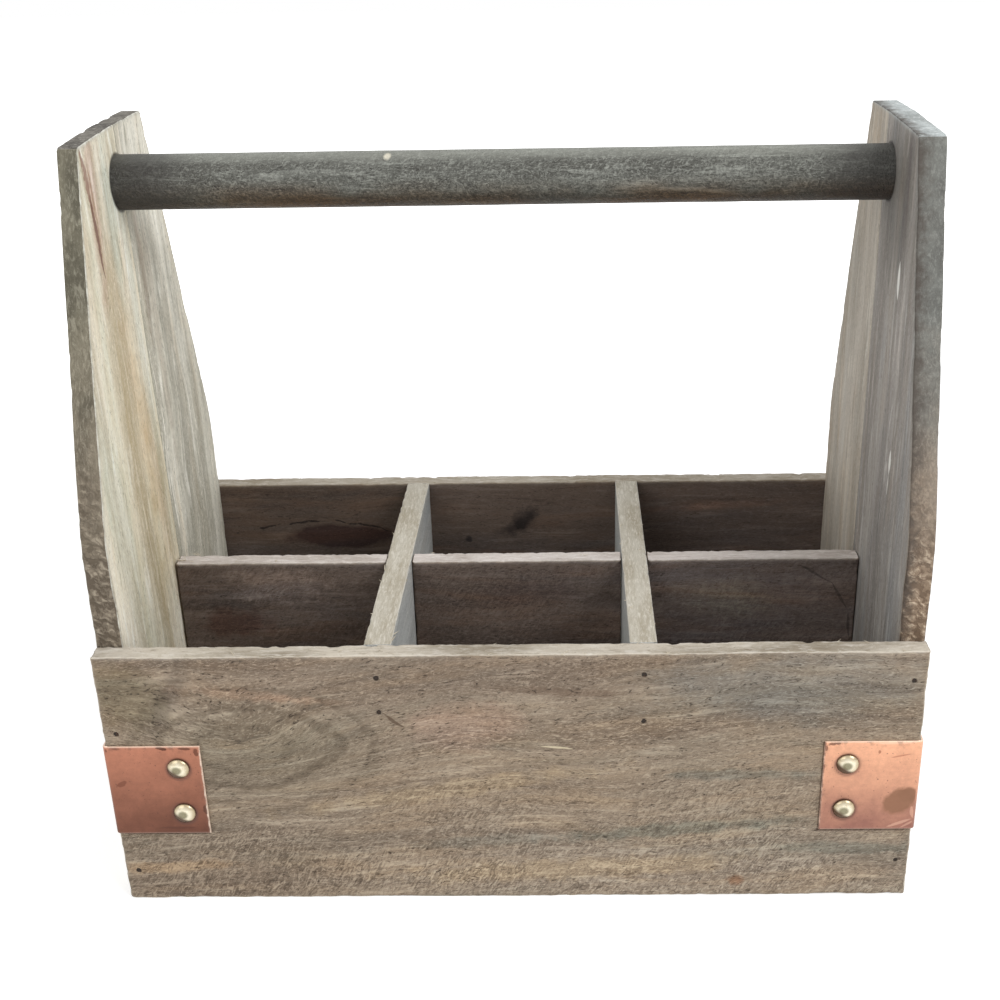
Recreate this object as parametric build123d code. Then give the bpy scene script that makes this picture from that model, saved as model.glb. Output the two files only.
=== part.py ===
from build123d import *
from math import sqrt
import os

# Bottle caddy in weathered wood: a box of six compartments between two tall end boards,
# with a round rod handle, bent copper straps on the corners and domed nails.
# Millimetres, X along the box, Y from front to back, Z up.
# The origin is the middle of the underside, which stands on the table.

# Box
box_length = 340
box_depth = 192
box_height = 122
panel_thickness = 9
end_board_thickness = 11
floor_thickness = 9
arris_radius = 1

# End boards, each glued up from a front plank and a back plank
top_height = 318.5
crown_rise = 3
top_half_width = 43.5
top_corner_radius = 4
kink_above_box = 43
kink_radius = 80
left_glue_line = 4.5
right_glue_line = 10

# Dividers, half-lapped where they cross
divider_thickness = 11.5
long_divider_thickness = 9
long_divider_middle = -2
divider_middle_shares = (-0.170, 0.173)
lap_share = 0.5
lap_clearance = 0.3
divider_arris = 0.6

# Rod handle in blind sockets, held by a screw at each end
rod_radius = 11.5
rod_below_top = 24
socket_depth = 6
socket_clearance = 0.3
screw_head_radius = 4
screw_head_depth = 3
screw_rim = 0.4
screw_radius = 1.9
screw_length = 34
screw_tip = 4

# Corner straps
strap_thickness = 1
strap_leg = 40
strap_height = 44
strap_foot = 35.5
strap_nail_reach = 30
strap_nail_spacing = 22.4

# Domed nails
dome_radius = 4.7
dome_height = 2.5
dome_rim = 0.4
dome_wall = 0.55
dome_shank_radius = 0.9
dome_tip = 2.5
dome_point_cover = 1.5

# Brads, with their heads set just under the wood
brad_radius = 0.8
brad_head_radius = 1.2
brad_head_thickness = 0.7
brad_set = 0.5
brad_tip = 1.5
brad_bite = 16
fastener_clearance = 0.05

# Heights of the brads as shares of the box height, read off the front panel
left_end_brad_shares = (0.124, 0.697)
right_end_brad_shares = (0.152, 0.882)
left_divider_brad_shares = (0.776, 0.910)
right_divider_brad_shares = (0.734, 0.915)
long_divider_brad_shares = (0.30, 0.80)
floor_brad_shares = (-0.26, 0.26)

top_corner_height = top_height - crown_rise
kink_height = box_height + kink_above_box
rod_height = top_height - rod_below_top
inner_half_length = box_length / 2 - end_board_thickness
inner_half_depth = box_depth / 2 - panel_thickness
wall_height = box_height - floor_thickness
lap_height = floor_thickness + wall_height * lap_share
divider_middles = [share * 2 * inner_half_length for share in divider_middle_shares]
# The front straps hang their nails on the panels, so the thinner of the two woods sets the length
dome_length = strap_thickness + min(panel_thickness, end_board_thickness) - dome_point_cover
drill_overrun = 1


# A place for a fastener: local Z points out of the wood along the fastener
def on_front(x, z, lift=0):
    return Plane(origin=(x, -box_depth / 2 - lift, z), x_dir=(1, 0, 0), z_dir=(0, -1, 0)).location


def on_back(x, z, lift=0):
    return Plane(origin=(x, box_depth / 2 + lift, z), x_dir=(-1, 0, 0), z_dir=(0, 1, 0)).location


def on_end(side, y, z, lift=0):
    return Plane(origin=(side * (box_length / 2 + lift), y, z), x_dir=(0, side, 0), z_dir=(side, 0, 0)).location


def under_floor(x, y):
    return Plane(origin=(x, y, 0), x_dir=(1, 0, 0), z_dir=(0, 0, -1)).location


def turned(points):
    return revolve(Plane.XZ * make_face(Polyline(*points, close=True)), Axis.Z)


def brad_length(through):
    return through + brad_bite


def brad(through):
    head_foot = -brad_set - brad_head_thickness
    end = -brad_length(through)
    return turned([
        (0, -brad_set),
        (brad_head_radius, -brad_set),
        (brad_head_radius, head_foot),
        (brad_radius, head_foot),
        (brad_radius, end + brad_tip),
        (0, end),
    ])


def brad_hole(through):
    head_foot = -brad_set - brad_head_thickness
    end = -brad_length(through) - fastener_clearance
    return turned([
        (0, drill_overrun),
        (brad_head_radius + fastener_clearance, drill_overrun),
        (brad_head_radius + fastener_clearance, head_foot),
        (brad_radius + fastener_clearance, head_foot),
        (brad_radius + fastener_clearance, end + brad_tip),
        (0, end),
    ])


# Height of a dome's surface at a reach from its axis, for a ball that tops out at top
def dome_surface(reach, ball, top):
    return top - ball + sqrt(ball**2 - reach**2)


def domed_nail():
    rise = dome_height - dome_rim
    ball = (dome_radius**2 + rise**2) / (2 * rise)
    hollow_ball = ball - dome_wall
    hollow_top = dome_height - dome_wall
    hollow_reach = sqrt(hollow_ball**2 - (hollow_ball - hollow_top) ** 2)
    hollow_middle = (hollow_reach + dome_shank_radius) / 2
    outside = ThreePointArc(
        (dome_radius, dome_rim),
        (dome_radius / 2, dome_surface(dome_radius / 2, ball, dome_height)),
        (0, dome_height),
    )
    inside = ThreePointArc(
        (dome_shank_radius, dome_surface(dome_shank_radius, hollow_ball, hollow_top)),
        (hollow_middle, dome_surface(hollow_middle, hollow_ball, hollow_top)),
        (hollow_reach, 0),
    )
    rim = Polyline((hollow_reach, 0), (dome_radius, 0), (dome_radius, dome_rim))
    shank = Polyline(
        (0, dome_height),
        (0, -dome_length),
        (dome_shank_radius, -dome_length + dome_tip),
        (dome_shank_radius, dome_surface(dome_shank_radius, hollow_ball, hollow_top)),
    )
    return revolve(Plane.XZ * make_face(outside + inside + rim + shank), Axis.Z)


def domed_nail_hole():
    radius = dome_shank_radius + fastener_clearance
    end = -dome_length - fastener_clearance
    return turned([(0, drill_overrun), (radius, drill_overrun), (radius, end + dome_tip), (0, end)])


def screw_outline(grow, top):
    return [
        (0, top),
        (screw_head_radius + grow, top),
        (screw_head_radius + grow, -screw_rim),
        (screw_radius + grow, -screw_head_depth),
        (screw_radius + grow, -screw_length + screw_tip),
        (0, -screw_length - grow),
    ]


def handle_screw():
    return turned(screw_outline(0, 0))


def handle_screw_hole():
    return turned(screw_outline(fastener_clearance, drill_overrun))


def drilled(wood, places, tool):
    for place in places:
        wood -= place * tool
    return wood


def group(places, piece):
    return Compound(children=[place * piece for place in places])


# Places of the brads and nails
def panel_brad_places(place_on):
    columns = [
        (-box_length / 2 + end_board_thickness / 2, left_end_brad_shares),
        (box_length / 2 - end_board_thickness / 2, right_end_brad_shares),
        (divider_middles[0], left_divider_brad_shares),
        (divider_middles[1], right_divider_brad_shares),
    ]
    return [place_on(x, share * box_height) for x, shares in columns for share in shares]


def end_brad_places(side):
    into_divider = [on_end(side, long_divider_middle, share * box_height) for share in long_divider_brad_shares]
    into_floor = [on_end(side, share * box_depth, floor_thickness / 2) for share in floor_brad_shares]
    return into_divider + into_floor


def floor_brad_places():
    return [under_floor(x, share * box_depth) for x in divider_middles for share in floor_brad_shares]


def strap_nail_heights():
    middle = strap_foot + strap_height / 2
    return (middle - strap_nail_spacing / 2, middle + strap_nail_spacing / 2)


def face_nail_places(place_on, side):
    x = side * (box_length / 2 - strap_nail_reach)
    return [place_on(x, z, strap_thickness) for z in strap_nail_heights()]


def end_nail_places(side, row):
    y = row * (box_depth / 2 - strap_nail_reach)
    return [on_end(side, y, z, strap_thickness) for z in strap_nail_heights()]


def strap_nail_places(side, row):
    place_on = on_front if row < 0 else on_back
    return face_nail_places(place_on, side) + end_nail_places(side, row)


# Front or back panel: full length, closing the ends of the end boards and dividers
def panel(row):
    middle = row * (box_depth - panel_thickness) / 2
    wood = Pos(0, middle, box_height / 2) * Box(box_length, panel_thickness, box_height)
    outer_face = wood.faces().sort_by(Axis.Y)[0 if row < 0 else -1]
    top_face = wood.faces().sort_by(Axis.Z)[-1]
    worn = outer_face.edges() + [edge for edge in top_face.edges() if edge not in outer_face.edges()]
    wood = fillet(worn, arris_radius)
    place_on = on_front if row < 0 else on_back
    wood = drilled(wood, panel_brad_places(place_on), brad_hole(panel_thickness))
    for side in (-1, 1):
        wood = drilled(wood, strap_nail_places(side, row), domed_nail_hole())
    return wood


# Whole end board before it is parted at the glue line: upright foot, straight taper, arched top
def end_board(side):
    outline = Polyline(
        (top_half_width, top_corner_height),
        (inner_half_depth, kink_height),
        (inner_half_depth, 0),
        (-inner_half_depth, 0),
        (-inner_half_depth, kink_height),
        (-top_half_width, top_corner_height),
    )
    crown = ThreePointArc(
        (-top_half_width, top_corner_height), (0, top_height), (top_half_width, top_corner_height)
    )
    shape = make_face(outline + crown)
    corners = shape.vertices().sort_by(Axis.Y)
    shape = fillet(corners[2:4], kink_radius)
    shape = fillet(shape.vertices().sort_by(Axis.Y)[-2:], top_corner_radius)
    inner = side * inner_half_length
    wood = extrude(Plane.YZ.offset(min(inner, side * box_length / 2)) * shape, end_board_thickness)
    rims = wood.faces().filter_by(Axis.X).edges()
    wood = fillet([edge for edge in rims if edge.center().Z > 0], arris_radius)
    socket = Cylinder(rod_radius + socket_clearance, 2 * socket_depth, rotation=(0, 90, 0))
    wood -= Pos(inner, 0, rod_height) * socket
    wood = drilled(wood, [on_end(side, 0, rod_height)], handle_screw_hole())
    for place_on in (on_front, on_back):
        wood = drilled(wood, panel_brad_places(place_on), brad_hole(panel_thickness))
    wood = drilled(wood, end_brad_places(side), brad_hole(end_board_thickness))
    for row in (-1, 1):
        wood = drilled(wood, end_nail_places(side, row), domed_nail_hole())
    return wood


def planks(side, glue_line):
    wood = end_board(side)
    joint = Plane(origin=(0, glue_line, 0), z_dir=(0, 1, 0))
    return split(wood, joint, keep=Keep.BOTTOM), split(wood, joint, keep=Keep.TOP)


def floor_board():
    wood = Pos(0, 0, floor_thickness / 2) * Box(2 * inner_half_length, 2 * inner_half_depth, floor_thickness)
    for side in (-1, 1):
        wood = drilled(wood, end_brad_places(side), brad_hole(end_board_thickness))
    return drilled(wood, floor_brad_places(), brad_hole(floor_thickness))


def rounded_top(wood, axis):
    top_edges = wood.edges().filter_by(axis).sort_by(Axis.Z)[-2:]
    return fillet(top_edges, divider_arris)


# Front-to-back divider: runs through on top, with its slot in the lower half
def divider(index):
    x = divider_middles[index]
    wood = Pos(x, 0, floor_thickness + wall_height / 2) * Box(divider_thickness, 2 * inner_half_depth, wall_height)
    wood = rounded_top(wood, Axis.Y)
    slot_width = long_divider_thickness + 2 * lap_clearance
    slot_height = lap_height + lap_clearance
    wood -= Pos(x, long_divider_middle, slot_height / 2) * Box(2 * divider_thickness, slot_width, slot_height)
    for place_on in (on_front, on_back):
        wood = drilled(wood, panel_brad_places(place_on), brad_hole(panel_thickness))
    return drilled(wood, floor_brad_places(), brad_hole(floor_thickness))


# Lengthwise divider: slotted from above, so that it drops under the other two
def long_divider():
    middle = floor_thickness + wall_height / 2
    wood = Pos(0, long_divider_middle, middle) * Box(2 * inner_half_length, long_divider_thickness, wall_height)
    wood = rounded_top(wood, Axis.X)
    slot_width = divider_thickness + 2 * lap_clearance
    for x in divider_middles:
        slot = Box(slot_width, 2 * long_divider_thickness, 2 * (box_height - lap_height))
        wood -= Pos(x, long_divider_middle, box_height) * slot
    for side in (-1, 1):
        wood = drilled(wood, end_brad_places(side), brad_hole(end_board_thickness))
    return wood


def handle_rod():
    length = 2 * (inner_half_length + socket_depth)
    wood = Pos(0, 0, rod_height) * Cylinder(rod_radius, length, rotation=(0, 90, 0))
    return drilled(wood, [on_end(side, 0, rod_height) for side in (-1, 1)], handle_screw_hole())


# Strap bent round a corner, close against the worn arris of the panel
def strap(side, row):
    def bend(gap, radius):
        x_out = side * (box_length / 2 + gap)
        y_out = row * (box_depth / 2 + gap)
        x_free = side * (box_length / 2 - strap_leg)
        y_free = row * (box_depth / 2 - strap_leg)
        return FilletPolyline((x_free, y_out), (x_out, y_out), (x_out, y_free), radius=radius)

    inside = bend(0, arris_radius)
    outside = bend(strap_thickness, arris_radius + strap_thickness)
    ends = [Line(inside @ end, outside @ end) for end in (0, 1)]
    section = make_face(inside + outside + ends[0] + ends[1])
    sheet = extrude(Pos(0, 0, strap_foot) * section, strap_height)
    return drilled(sheet, strap_nail_places(side, row), domed_nail_hole())


def build():
    left_front, left_back = planks(-1, left_glue_line)
    right_front, right_back = planks(1, right_glue_line)
    nodes = {
        "front_panel": panel(-1),
        "back_panel": panel(1),
        "floor_board": floor_board(),
        "left_end_front_plank": left_front,
        "left_end_back_plank": left_back,
        "right_end_front_plank": right_front,
        "right_end_back_plank": right_back,
        "left_divider": divider(0),
        "right_divider": divider(1),
        "long_divider": long_divider(),
        "handle_rod": handle_rod(),
        "left_handle_screw": on_end(-1, 0, rod_height) * handle_screw(),
        "right_handle_screw": on_end(1, 0, rod_height) * handle_screw(),
        "front_brads": group(panel_brad_places(on_front), brad(panel_thickness)),
        "back_brads": group(panel_brad_places(on_back), brad(panel_thickness)),
        "left_end_brads": group(end_brad_places(-1), brad(end_board_thickness)),
        "right_end_brads": group(end_brad_places(1), brad(end_board_thickness)),
        "floor_brads": group(floor_brad_places(), brad(floor_thickness)),
    }
    for row, row_name in ((-1, "front"), (1, "back")):
        for side, side_name in ((-1, "left"), (1, "right")):
            corner = f"{row_name}_{side_name}_strap"
            nodes[corner] = strap(side, row)
            nodes[corner + "_nails"] = group(strap_nail_places(side, row), domed_nail())
    return nodes


os.makedirs("parts", exist_ok=True)
for name, shape in build().items():
    export_step(shape, f"parts/{name}.step")
    print(name, "written")
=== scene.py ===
import math
import random

import bmesh
import bpy
import numpy as np
from mathutils import Euler, Matrix, Vector, kdtree, noise


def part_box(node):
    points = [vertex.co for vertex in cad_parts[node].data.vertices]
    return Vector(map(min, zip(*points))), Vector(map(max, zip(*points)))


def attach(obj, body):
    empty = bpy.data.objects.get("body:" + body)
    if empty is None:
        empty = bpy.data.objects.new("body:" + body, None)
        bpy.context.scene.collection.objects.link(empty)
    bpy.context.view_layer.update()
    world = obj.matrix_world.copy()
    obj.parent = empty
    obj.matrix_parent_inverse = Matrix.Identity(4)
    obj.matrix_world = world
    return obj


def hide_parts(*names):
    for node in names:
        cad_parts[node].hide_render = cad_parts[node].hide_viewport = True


# Weathered bottle caddy: worn boards, a dark rod handle, copper corner straps and domed nails.
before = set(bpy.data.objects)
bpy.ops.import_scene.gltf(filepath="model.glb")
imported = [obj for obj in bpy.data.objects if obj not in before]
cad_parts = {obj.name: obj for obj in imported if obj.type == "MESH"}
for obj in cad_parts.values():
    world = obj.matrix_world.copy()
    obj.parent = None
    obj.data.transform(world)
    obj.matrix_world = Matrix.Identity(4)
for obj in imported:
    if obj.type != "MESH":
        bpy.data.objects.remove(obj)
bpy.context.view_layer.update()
mm = 0.001
print("frame loaded:", len(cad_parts), "nodes")

noiseTable = np.random.default_rng(7).uniform(-1, 1, 65521)
noiseTurn = np.array(Euler((0.7, 0.4, 1.1)).to_matrix())  # keeps the noise lattice off the board's own axes


def gridNoise(points, scale, seed, octaves=2):
    # smooth noise, about -1 to 1, at each point; scale is bumps per metre
    total = np.zeros(len(points))
    for octave in range(octaves):
        spots = np.asarray(points) @ noiseTurn * scale * 2 ** octave
        spots = spots + np.array([3.17, 1.31, 7.73]) * (seed + 11 * octave)
        cell = np.floor(spots).astype(int)
        share = spots - cell
        share = share * share * (3 - 2 * share)
        for corner in np.ndindex(2, 2, 2):
            weight = np.where(np.array(corner), share, 1 - share).prod(axis=1)
            key = (cell + corner) @ np.array([1, 57, 3251])
            total += weight * noiseTable[key % len(noiseTable)] * 0.55 ** octave
    return total


def smoothStep(low, high, value):
    x = np.clip((value - low) / (high - low), 0, 1)
    return x * x * (3 - 2 * x)


def meshPiece(name, verts, faces, material, marks=None):
    mesh = bpy.data.meshes.new(name)
    mesh.from_pydata([tuple(v) for v in verts], [], [tuple(f) for f in faces])
    for label, values in (marks or {}).items():
        mesh.attributes.new(label, "FLOAT", "POINT").data.foreach_set("value", np.asarray(values, dtype=np.float32))
    form = bmesh.new()
    form.from_mesh(mesh)
    bmesh.ops.recalc_face_normals(form, faces=form.faces)
    form.to_mesh(mesh)
    form.free()
    mesh.shade_smooth()
    mesh.materials.append(material)
    piece = bpy.data.objects.new(name, mesh)
    bpy.context.scene.collection.objects.link(piece)
    return piece


def gridFaces(rows, columns, closed=False, first=0):
    # quads between the rows of a grid of points; closed joins the two ends of each row
    corners = [(j * columns + k, j * columns + (k + 1) % columns)
               for j in range(rows - 1) for k in range(columns - (not closed))]
    return [(first + a, first + b, first + b + columns, first + a + columns) for a, b in corners]


def gridBorder(rows, columns):
    index = np.arange(rows * columns).reshape(rows, columns)
    return np.concatenate([index[0, :-1], index[:-1, -1], index[-1, :0:-1], index[:0:-1, 0]])


def wallFaces(loops):
    # quads between loops of points that lie over each other
    faces = []
    for lower, upper in zip(loops[:-1], loops[1:]):
        faces += np.stack([lower, upper, np.roll(upper, -1), np.roll(lower, -1)], axis=1).tolist()
    return faces


def pathLength(path):
    return np.linalg.norm(np.diff(np.asarray(path), axis=0), axis=1).sum()


def alongPath(path, shares):
    # points at shares of a path's length
    path = np.asarray(path, dtype=float)
    reach = np.concatenate([[0], np.cumsum(np.linalg.norm(np.diff(path, axis=0), axis=1))])
    where = np.asarray(shares) * reach[-1]
    return np.stack([np.interp(where, reach, path[:, k]) for k in (0, 1)], axis=1)


def pathNormals(path):
    run = np.gradient(path, axis=0)
    normal = np.stack([run[:, 1], -run[:, 0]], axis=1)
    return normal / np.linalg.norm(normal, axis=1)[:, None]


def roundedPath(corners, radii, steps=14):
    # corners of a path with arcs let into them; a radius of 0 leaves a corner sharp
    path = []
    for i, (corner, radius) in enumerate(zip(corners, radii)):
        here = Vector(corner)
        if radius == 0 or i in (0, len(corners) - 1):
            path.append(here)
            continue
        before = (Vector(corners[i - 1]) - here).normalized()
        after = (Vector(corners[i + 1]) - here).normalized()
        half = before.angle(after) / 2
        centre = here + (before + after).normalized() * radius / math.sin(half)
        start = here + before * radius / math.tan(half) - centre
        end = here + after * radius / math.tan(half) - centre
        path += [centre + start.slerp(end, k / steps) * radius for k in range(steps + 1)]
    return np.array([tuple(p) for p in path])


edgeSteps = np.array([0, 0.3, 0.6, 0.95, 1.4, 2.0, 2.9, 4.2]) * mm  # from an edge inward
pitStep, pitReach, pitDepth = 0.42 * mm, 2.1 * mm, 1.3 * mm


def spanShares(length, step, pits=()):
    # shares of a span: close together at its two ends, and at each pit along it
    inner = np.linspace(edgeSteps[-1], length - edgeSteps[-1], max(2, round((length - 2 * edgeSteps[-1]) / step)))
    places = list(edgeSteps) + list(inner[1:-1]) + list(length - edgeSteps)
    for place, width in pits:
        reach = max(pitReach, 1.3 * width)
        places += list(place + np.arange(-reach, reach + 0.1 * mm, pitStep))
    places = np.unique(np.round(np.clip(places, 0, length), 6))
    keep = np.concatenate([[True], np.diff(places) > 0.12 * mm])
    return places[keep] / length


def slab(name, sides, low, high, axes, wear, material, pits=()):
    # A worn board. sides are its four edges in its own plane as paths: bottom and top run one way,
    # left and right the other. low and high are its two faces, and axes says which is which.
    bottom, right, top, left = sides
    seed, glued, innerSide, thick = wear["seed"], wear["glued"], wear["innerSide"], high - low
    across = spanShares(pathLength(bottom), wear["step"], [(x - bottom[0][0], width) for x, y, side, width in pits])
    up = spanShares(pathLength(left), wear["step"], [(y - left[0][1], width) for x, y, side, width in pits])
    b, t = alongPath(bottom, across), alongPath(top, across)
    l, r = alongPath(left, up), alongPath(right, up)
    s, v = across[None, :, None], up[:, None, None]
    plan = (1 - v) * b[None] + v * t[None] + (1 - s) * l[:, None] + s * r[:, None]
    plan -= (1 - s) * (1 - v) * b[0] + s * (1 - v) * b[-1] + (1 - s) * v * t[0] + s * v * t[-1]
    rows, columns = plan.shape[:2]
    flat = plan.reshape(-1, 2)
    count, loop = len(flat), gridBorder(rows, columns)

    # worn outline: dense samples with their outward normals, without the glued side
    middle = flat.mean(axis=0)
    samples, normals, calm = [], [], []
    for label, path in (("bottom", bottom), ("right", right), ("top", top), ("left", left)):
        if label not in glued:
            dense = alongPath(path, np.linspace(0, 1, int(pathLength(path) / (0.4 * mm)) + 2))
            normal = pathNormals(dense)
            samples.append(dense)
            normals.append(normal * np.sign(((dense - middle) * normal).sum(axis=1))[:, None])
            calm.append(np.full(len(dense), 1.0 if label == "top" else wear["sideWear"]))
    samples, normals, calm = np.concatenate(samples), np.concatenate(normals), np.concatenate(calm)
    sampleSpots = np.column_stack([samples, np.zeros(len(samples))])
    rough = gridNoise(sampleSpots, wear["chipScale"], seed, 3)
    slow = gridNoise(sampleSpots, wear["chipScale"] * 0.22, seed + 5)
    radius = wear["arris"] * (1 + 0.45 * slow + 0.3 * rough)
    radius += wear["chip"] * calm * smoothStep(wear["chipFrom"], wear["chipFrom"] + 0.3, rough + 0.3 * slow)
    radius = np.clip(radius, 0.25 * mm, thick * 0.42)
    wave = wear["wave"] * calm * (0.5 + 0.5 * gridNoise(sampleSpots, wear["waveScale"], seed + 9))
    tree = kdtree.KDTree(len(samples))
    for i, spot in enumerate(sampleSpots):
        tree.insert(spot, i)
    tree.balance()
    near = np.array([tree.find((p[0], p[1], 0))[1] for p in flat])
    inset = np.abs(((flat - samples[near]) * normals[near]).sum(axis=1))
    if not glued:
        inset[loop] = 0

    # both faces, then a loop of points at each depth between them, rounded off at the edges
    edges = edgeSteps[edgeSteps < thick / 2]
    inner = np.concatenate([edges, thick - edges, np.arange(3.2 * mm, thick - 3 * mm, 1.1 * mm)])
    inner = np.unique(np.round(inner, 6))[1:-1]
    which = np.concatenate([np.arange(count), np.arange(count)] + [loop] * len(inner))
    depth = np.concatenate([np.zeros(count), np.full(count, thick)] + [np.full(len(loop), d) for d in inner])
    onRim = np.arange(len(which)) >= 2 * count
    spots = np.column_stack([flat[which], low + depth])
    outward, bend, edgeGap, flatX, flatY = normals[near[which]], radius[near[which]], inset[which], *flat[which].T
    faceGap = np.minimum(depth, thick - depth)
    faceSide = np.where(depth < thick / 2, -1.0, 1.0)
    pull = np.column_stack([outward * np.clip(bend - edgeGap, 0, None)[:, None],
                            faceSide * np.clip(bend - faceGap, 0, None)])
    size = np.linalg.norm(pull, axis=1)
    rounds = (size > 0) & ((edgeGap < 1e-6) | ~onRim)
    spots[rounds] += pull[rounds] * (bend[rounds] / size[rounds])[:, None] - pull[rounds]
    depthShare = depth / thick if innerSide > 0 else 1 - depth / thick
    thinHere = wear["thin"] * np.clip((spots[:, 1] - wear["thinFrom"]) / (wear["thinTo"] - wear["thinFrom"]), 0, 1)
    spots[:, 2] -= innerSide * thinHere * depthShare
    spots[:, :2] -= outward * (wave[near[which]] * np.exp(-edgeGap / (9 * mm)))[:, None]

    # rough sawn or cracked edges, and faces that are never quite flat
    bark = gridNoise(spots * np.array([1, 0.45, 1]), wear["barkScale"], seed + 2, 3)
    barkHere = wear["bark"] * smoothStep(wear["barkTo"], wear["barkFrom"], spots[:, 1])
    barkHere = np.exp(-edgeGap / (1.2 * mm)) * barkHere
    spots[:, :2] -= outward * (barkHere * np.clip(0.35 + bark, 0, None))[:, None]
    spots[:, 2] -= faceSide * np.where(onRim, 0, wear["dip"] * (0.5 + 0.5 * gridNoise(spots, 28, seed + 4)))
    if glued:
        jointGap = np.abs(flatX - (right if "right" in glued else left)[0][0])
        spots[:, 2] -= faceSide * np.where(onRim, 0, 0.35 * mm * np.exp(-jointGap / (0.5 * mm)))

    # brad pits, sunk into one face
    pitMark = np.zeros(len(spots))
    for x, y, side, width in pits:
        ragged = 1 + min(0.22, 0.25 * mm / width) * gridNoise(spots, 700, seed + 11)
        gap = np.hypot(flatX - x, flatY - y) * ragged
        sunk = np.clip(1 - (gap / width) ** 2, 0, None) ** 0.6 * (faceSide == side) * ~onRim
        spots[:, 2] -= side * sunk * pitDepth
        pitMark = np.maximum(pitMark, smoothStep(0.05, 0.5, sunk))

    quads = np.array(gridFaces(rows, columns))
    faces = quads.tolist() + (quads[:, ::-1] + count).tolist()
    rims = [2 * count + k * len(loop) + np.arange(len(loop)) for k in range(len(inner))]
    faces += wallFaces([loop] + rims + [loop + count])
    verts = spots[:, {"xzy": (0, 2, 1), "yzx": (2, 0, 1), "xyz": (0, 1, 2)}[axes]]
    verts[:, 2] = np.maximum(verts[:, 2], 0.0)
    openGap = edgeGap
    if wear["boxed"]:  # inside a box only the top edge is open to wear
        openGap = np.where((faceSide == innerSide) | wear["bothInside"], flat[:, 1].max() - flatY, edgeGap)
    innerGap = depth if innerSide < 0 else thick - depth
    arrisGap = np.where(onRim, innerGap if wear["innerRub"] else faceGap, openGap)
    onFace = np.where(onRim, 0, smoothStep(0.3 * mm, 1.5 * mm, openGap))
    facesUp = outward[:, 1] > 0.7
    rim = np.exp(-edgeGap / (0.7 * mm))
    return meshPiece(name, verts, faces, material, {
        "arris": np.exp(-arrisGap / np.where(onRim, wear["rimRubWidth"], wear["rubWidth"])),
        "topRim": np.where(facesUp, rim, 0), "rim": np.where(facesUp, 0, rim),
        "innerFace": onFace * (faceSide == innerSide), "otherFace": onFace * (faceSide == -innerSide),
        "pit": pitMark})


def rectangle(x0, y0, x1, y1, corner=1.2 * mm):
    # four sides of a rectangle that share quarter-rounded corners
    x0, y0, x1, y1 = x0 + corner, y0 + corner, x1 - corner, y1 - corner

    def side(axis, *arcs):
        points = [(x + corner * math.cos(math.radians(a)), y + corner * math.sin(math.radians(a)))
                  for x, y, start in arcs for a in np.linspace(start, start + 45, 5)]
        return sorted(points, key=lambda p: p[axis])

    return (side(0, (x0, y0, 225), (x1, y0, 270)), side(1, (x1, y0, 315), (x1, y1, 0)),
            side(0, (x0, y1, 90), (x1, y1, 45)), side(1, (x0, y0, 180), (x0, y1, 135)))


bench = {}  # the node tree that new nodes go into


class Wire:
    # an outlet of a node; arithmetic with it adds Math nodes
    def __init__(self, socket):
        self.socket = socket

    __add__ = lambda a, b: calc("ADD", a, b)
    __radd__ = lambda a, b: calc("ADD", b, a)
    __sub__ = lambda a, b: calc("SUBTRACT", a, b)
    __rsub__ = lambda a, b: calc("SUBTRACT", b, a)
    __mul__ = lambda a, b: calc("MULTIPLY", a, b)
    __truediv__ = lambda a, b: calc("DIVIDE", a, b)


def put(kind, inputs=None, **settings):
    # adds a node, joins or sets its inputs and gives its outlets
    node = bench["tree"].nodes.new("ShaderNode" + kind)
    for key, value in settings.items():
        setattr(node, key, value)
    for key, value in (inputs or {}).items():
        if isinstance(value, Wire):
            bench["tree"].links.new(value.socket, node.inputs[key])
        else:
            node.inputs[key].default_value = value
    return [Wire(outlet) for outlet in node.outputs]


def calc(operation, a, b=0.0, clamp=False):
    return put("Math", {0: a, 1: b}, operation=operation, use_clamp=clamp)[0]


def vec(operation, a, b=(0, 0, 0)):
    # sums of vectors; a length or a dot product comes out as a number
    inputs = {0: a, "Scale" if operation == "SCALE" else 1: b}
    return put("VectorMath", inputs, operation=operation)[operation in ("LENGTH", "DOT_PRODUCT")]


def split(vector):
    return put("SeparateXYZ", {0: vector})


def join(*parts):
    return put("CombineXYZ", dict(enumerate(parts)))[0]


def grey(light):
    return put("CombineColor", {0: light, 1: light, 2: light})[0]


def blendColor(share, a, b, mode="MIX"):
    return put("Mix", {0: share, 6: a, 7: b}, data_type="RGBA", blend_type=mode, clamp_factor=True)[2]


def tinted(share, color, tint):
    return blendColor(share, color, tint, "MULTIPLY")


def coated(color, *coats):
    # lays coats of (share, colour) over a colour, one after another
    for share, coat in coats:
        color = blendColor(share, color, coat)
    return color


def ramp(value, low, high, toLow=0.0, toHigh=1.0):
    return put("MapRange", {0: value, 1: low, 2: high, 3: toLow, 4: toHigh}, interpolation_type="SMOOTHSTEP")[0]


def turned(vector, *degrees):
    return put("Mapping", {"Vector": vector, "Rotation": [math.radians(a) for a in degrees]})[0]


def stretched(vector, scales, shift=0.0):
    return put("Mapping", {"Vector": vector, "Scale": scales, "Location": (shift, shift * 1.7, shift * 0.6)})[0]


def haze(vector, scale=1.0, detail=2.0, rough=0.5, twist=0.0):
    # noise: its value and its colour
    return put("TexNoise", {"Vector": vector, "Scale": scale, "Detail": detail, "Roughness": rough,
                            "Distortion": twist})


def cloud(vector, scales, detail=2.0, rough=0.5, shift=0.0, twist=0.0):
    # noise with its own number of bumps per metre along each axis
    return haze(stretched(vector, scales, shift), 1.0, detail, rough, twist)[0]


def mark(label):
    return put("Attribute", attribute_name=label)[2]


def objectPlace():
    return put("TexCoord")[3]


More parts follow.
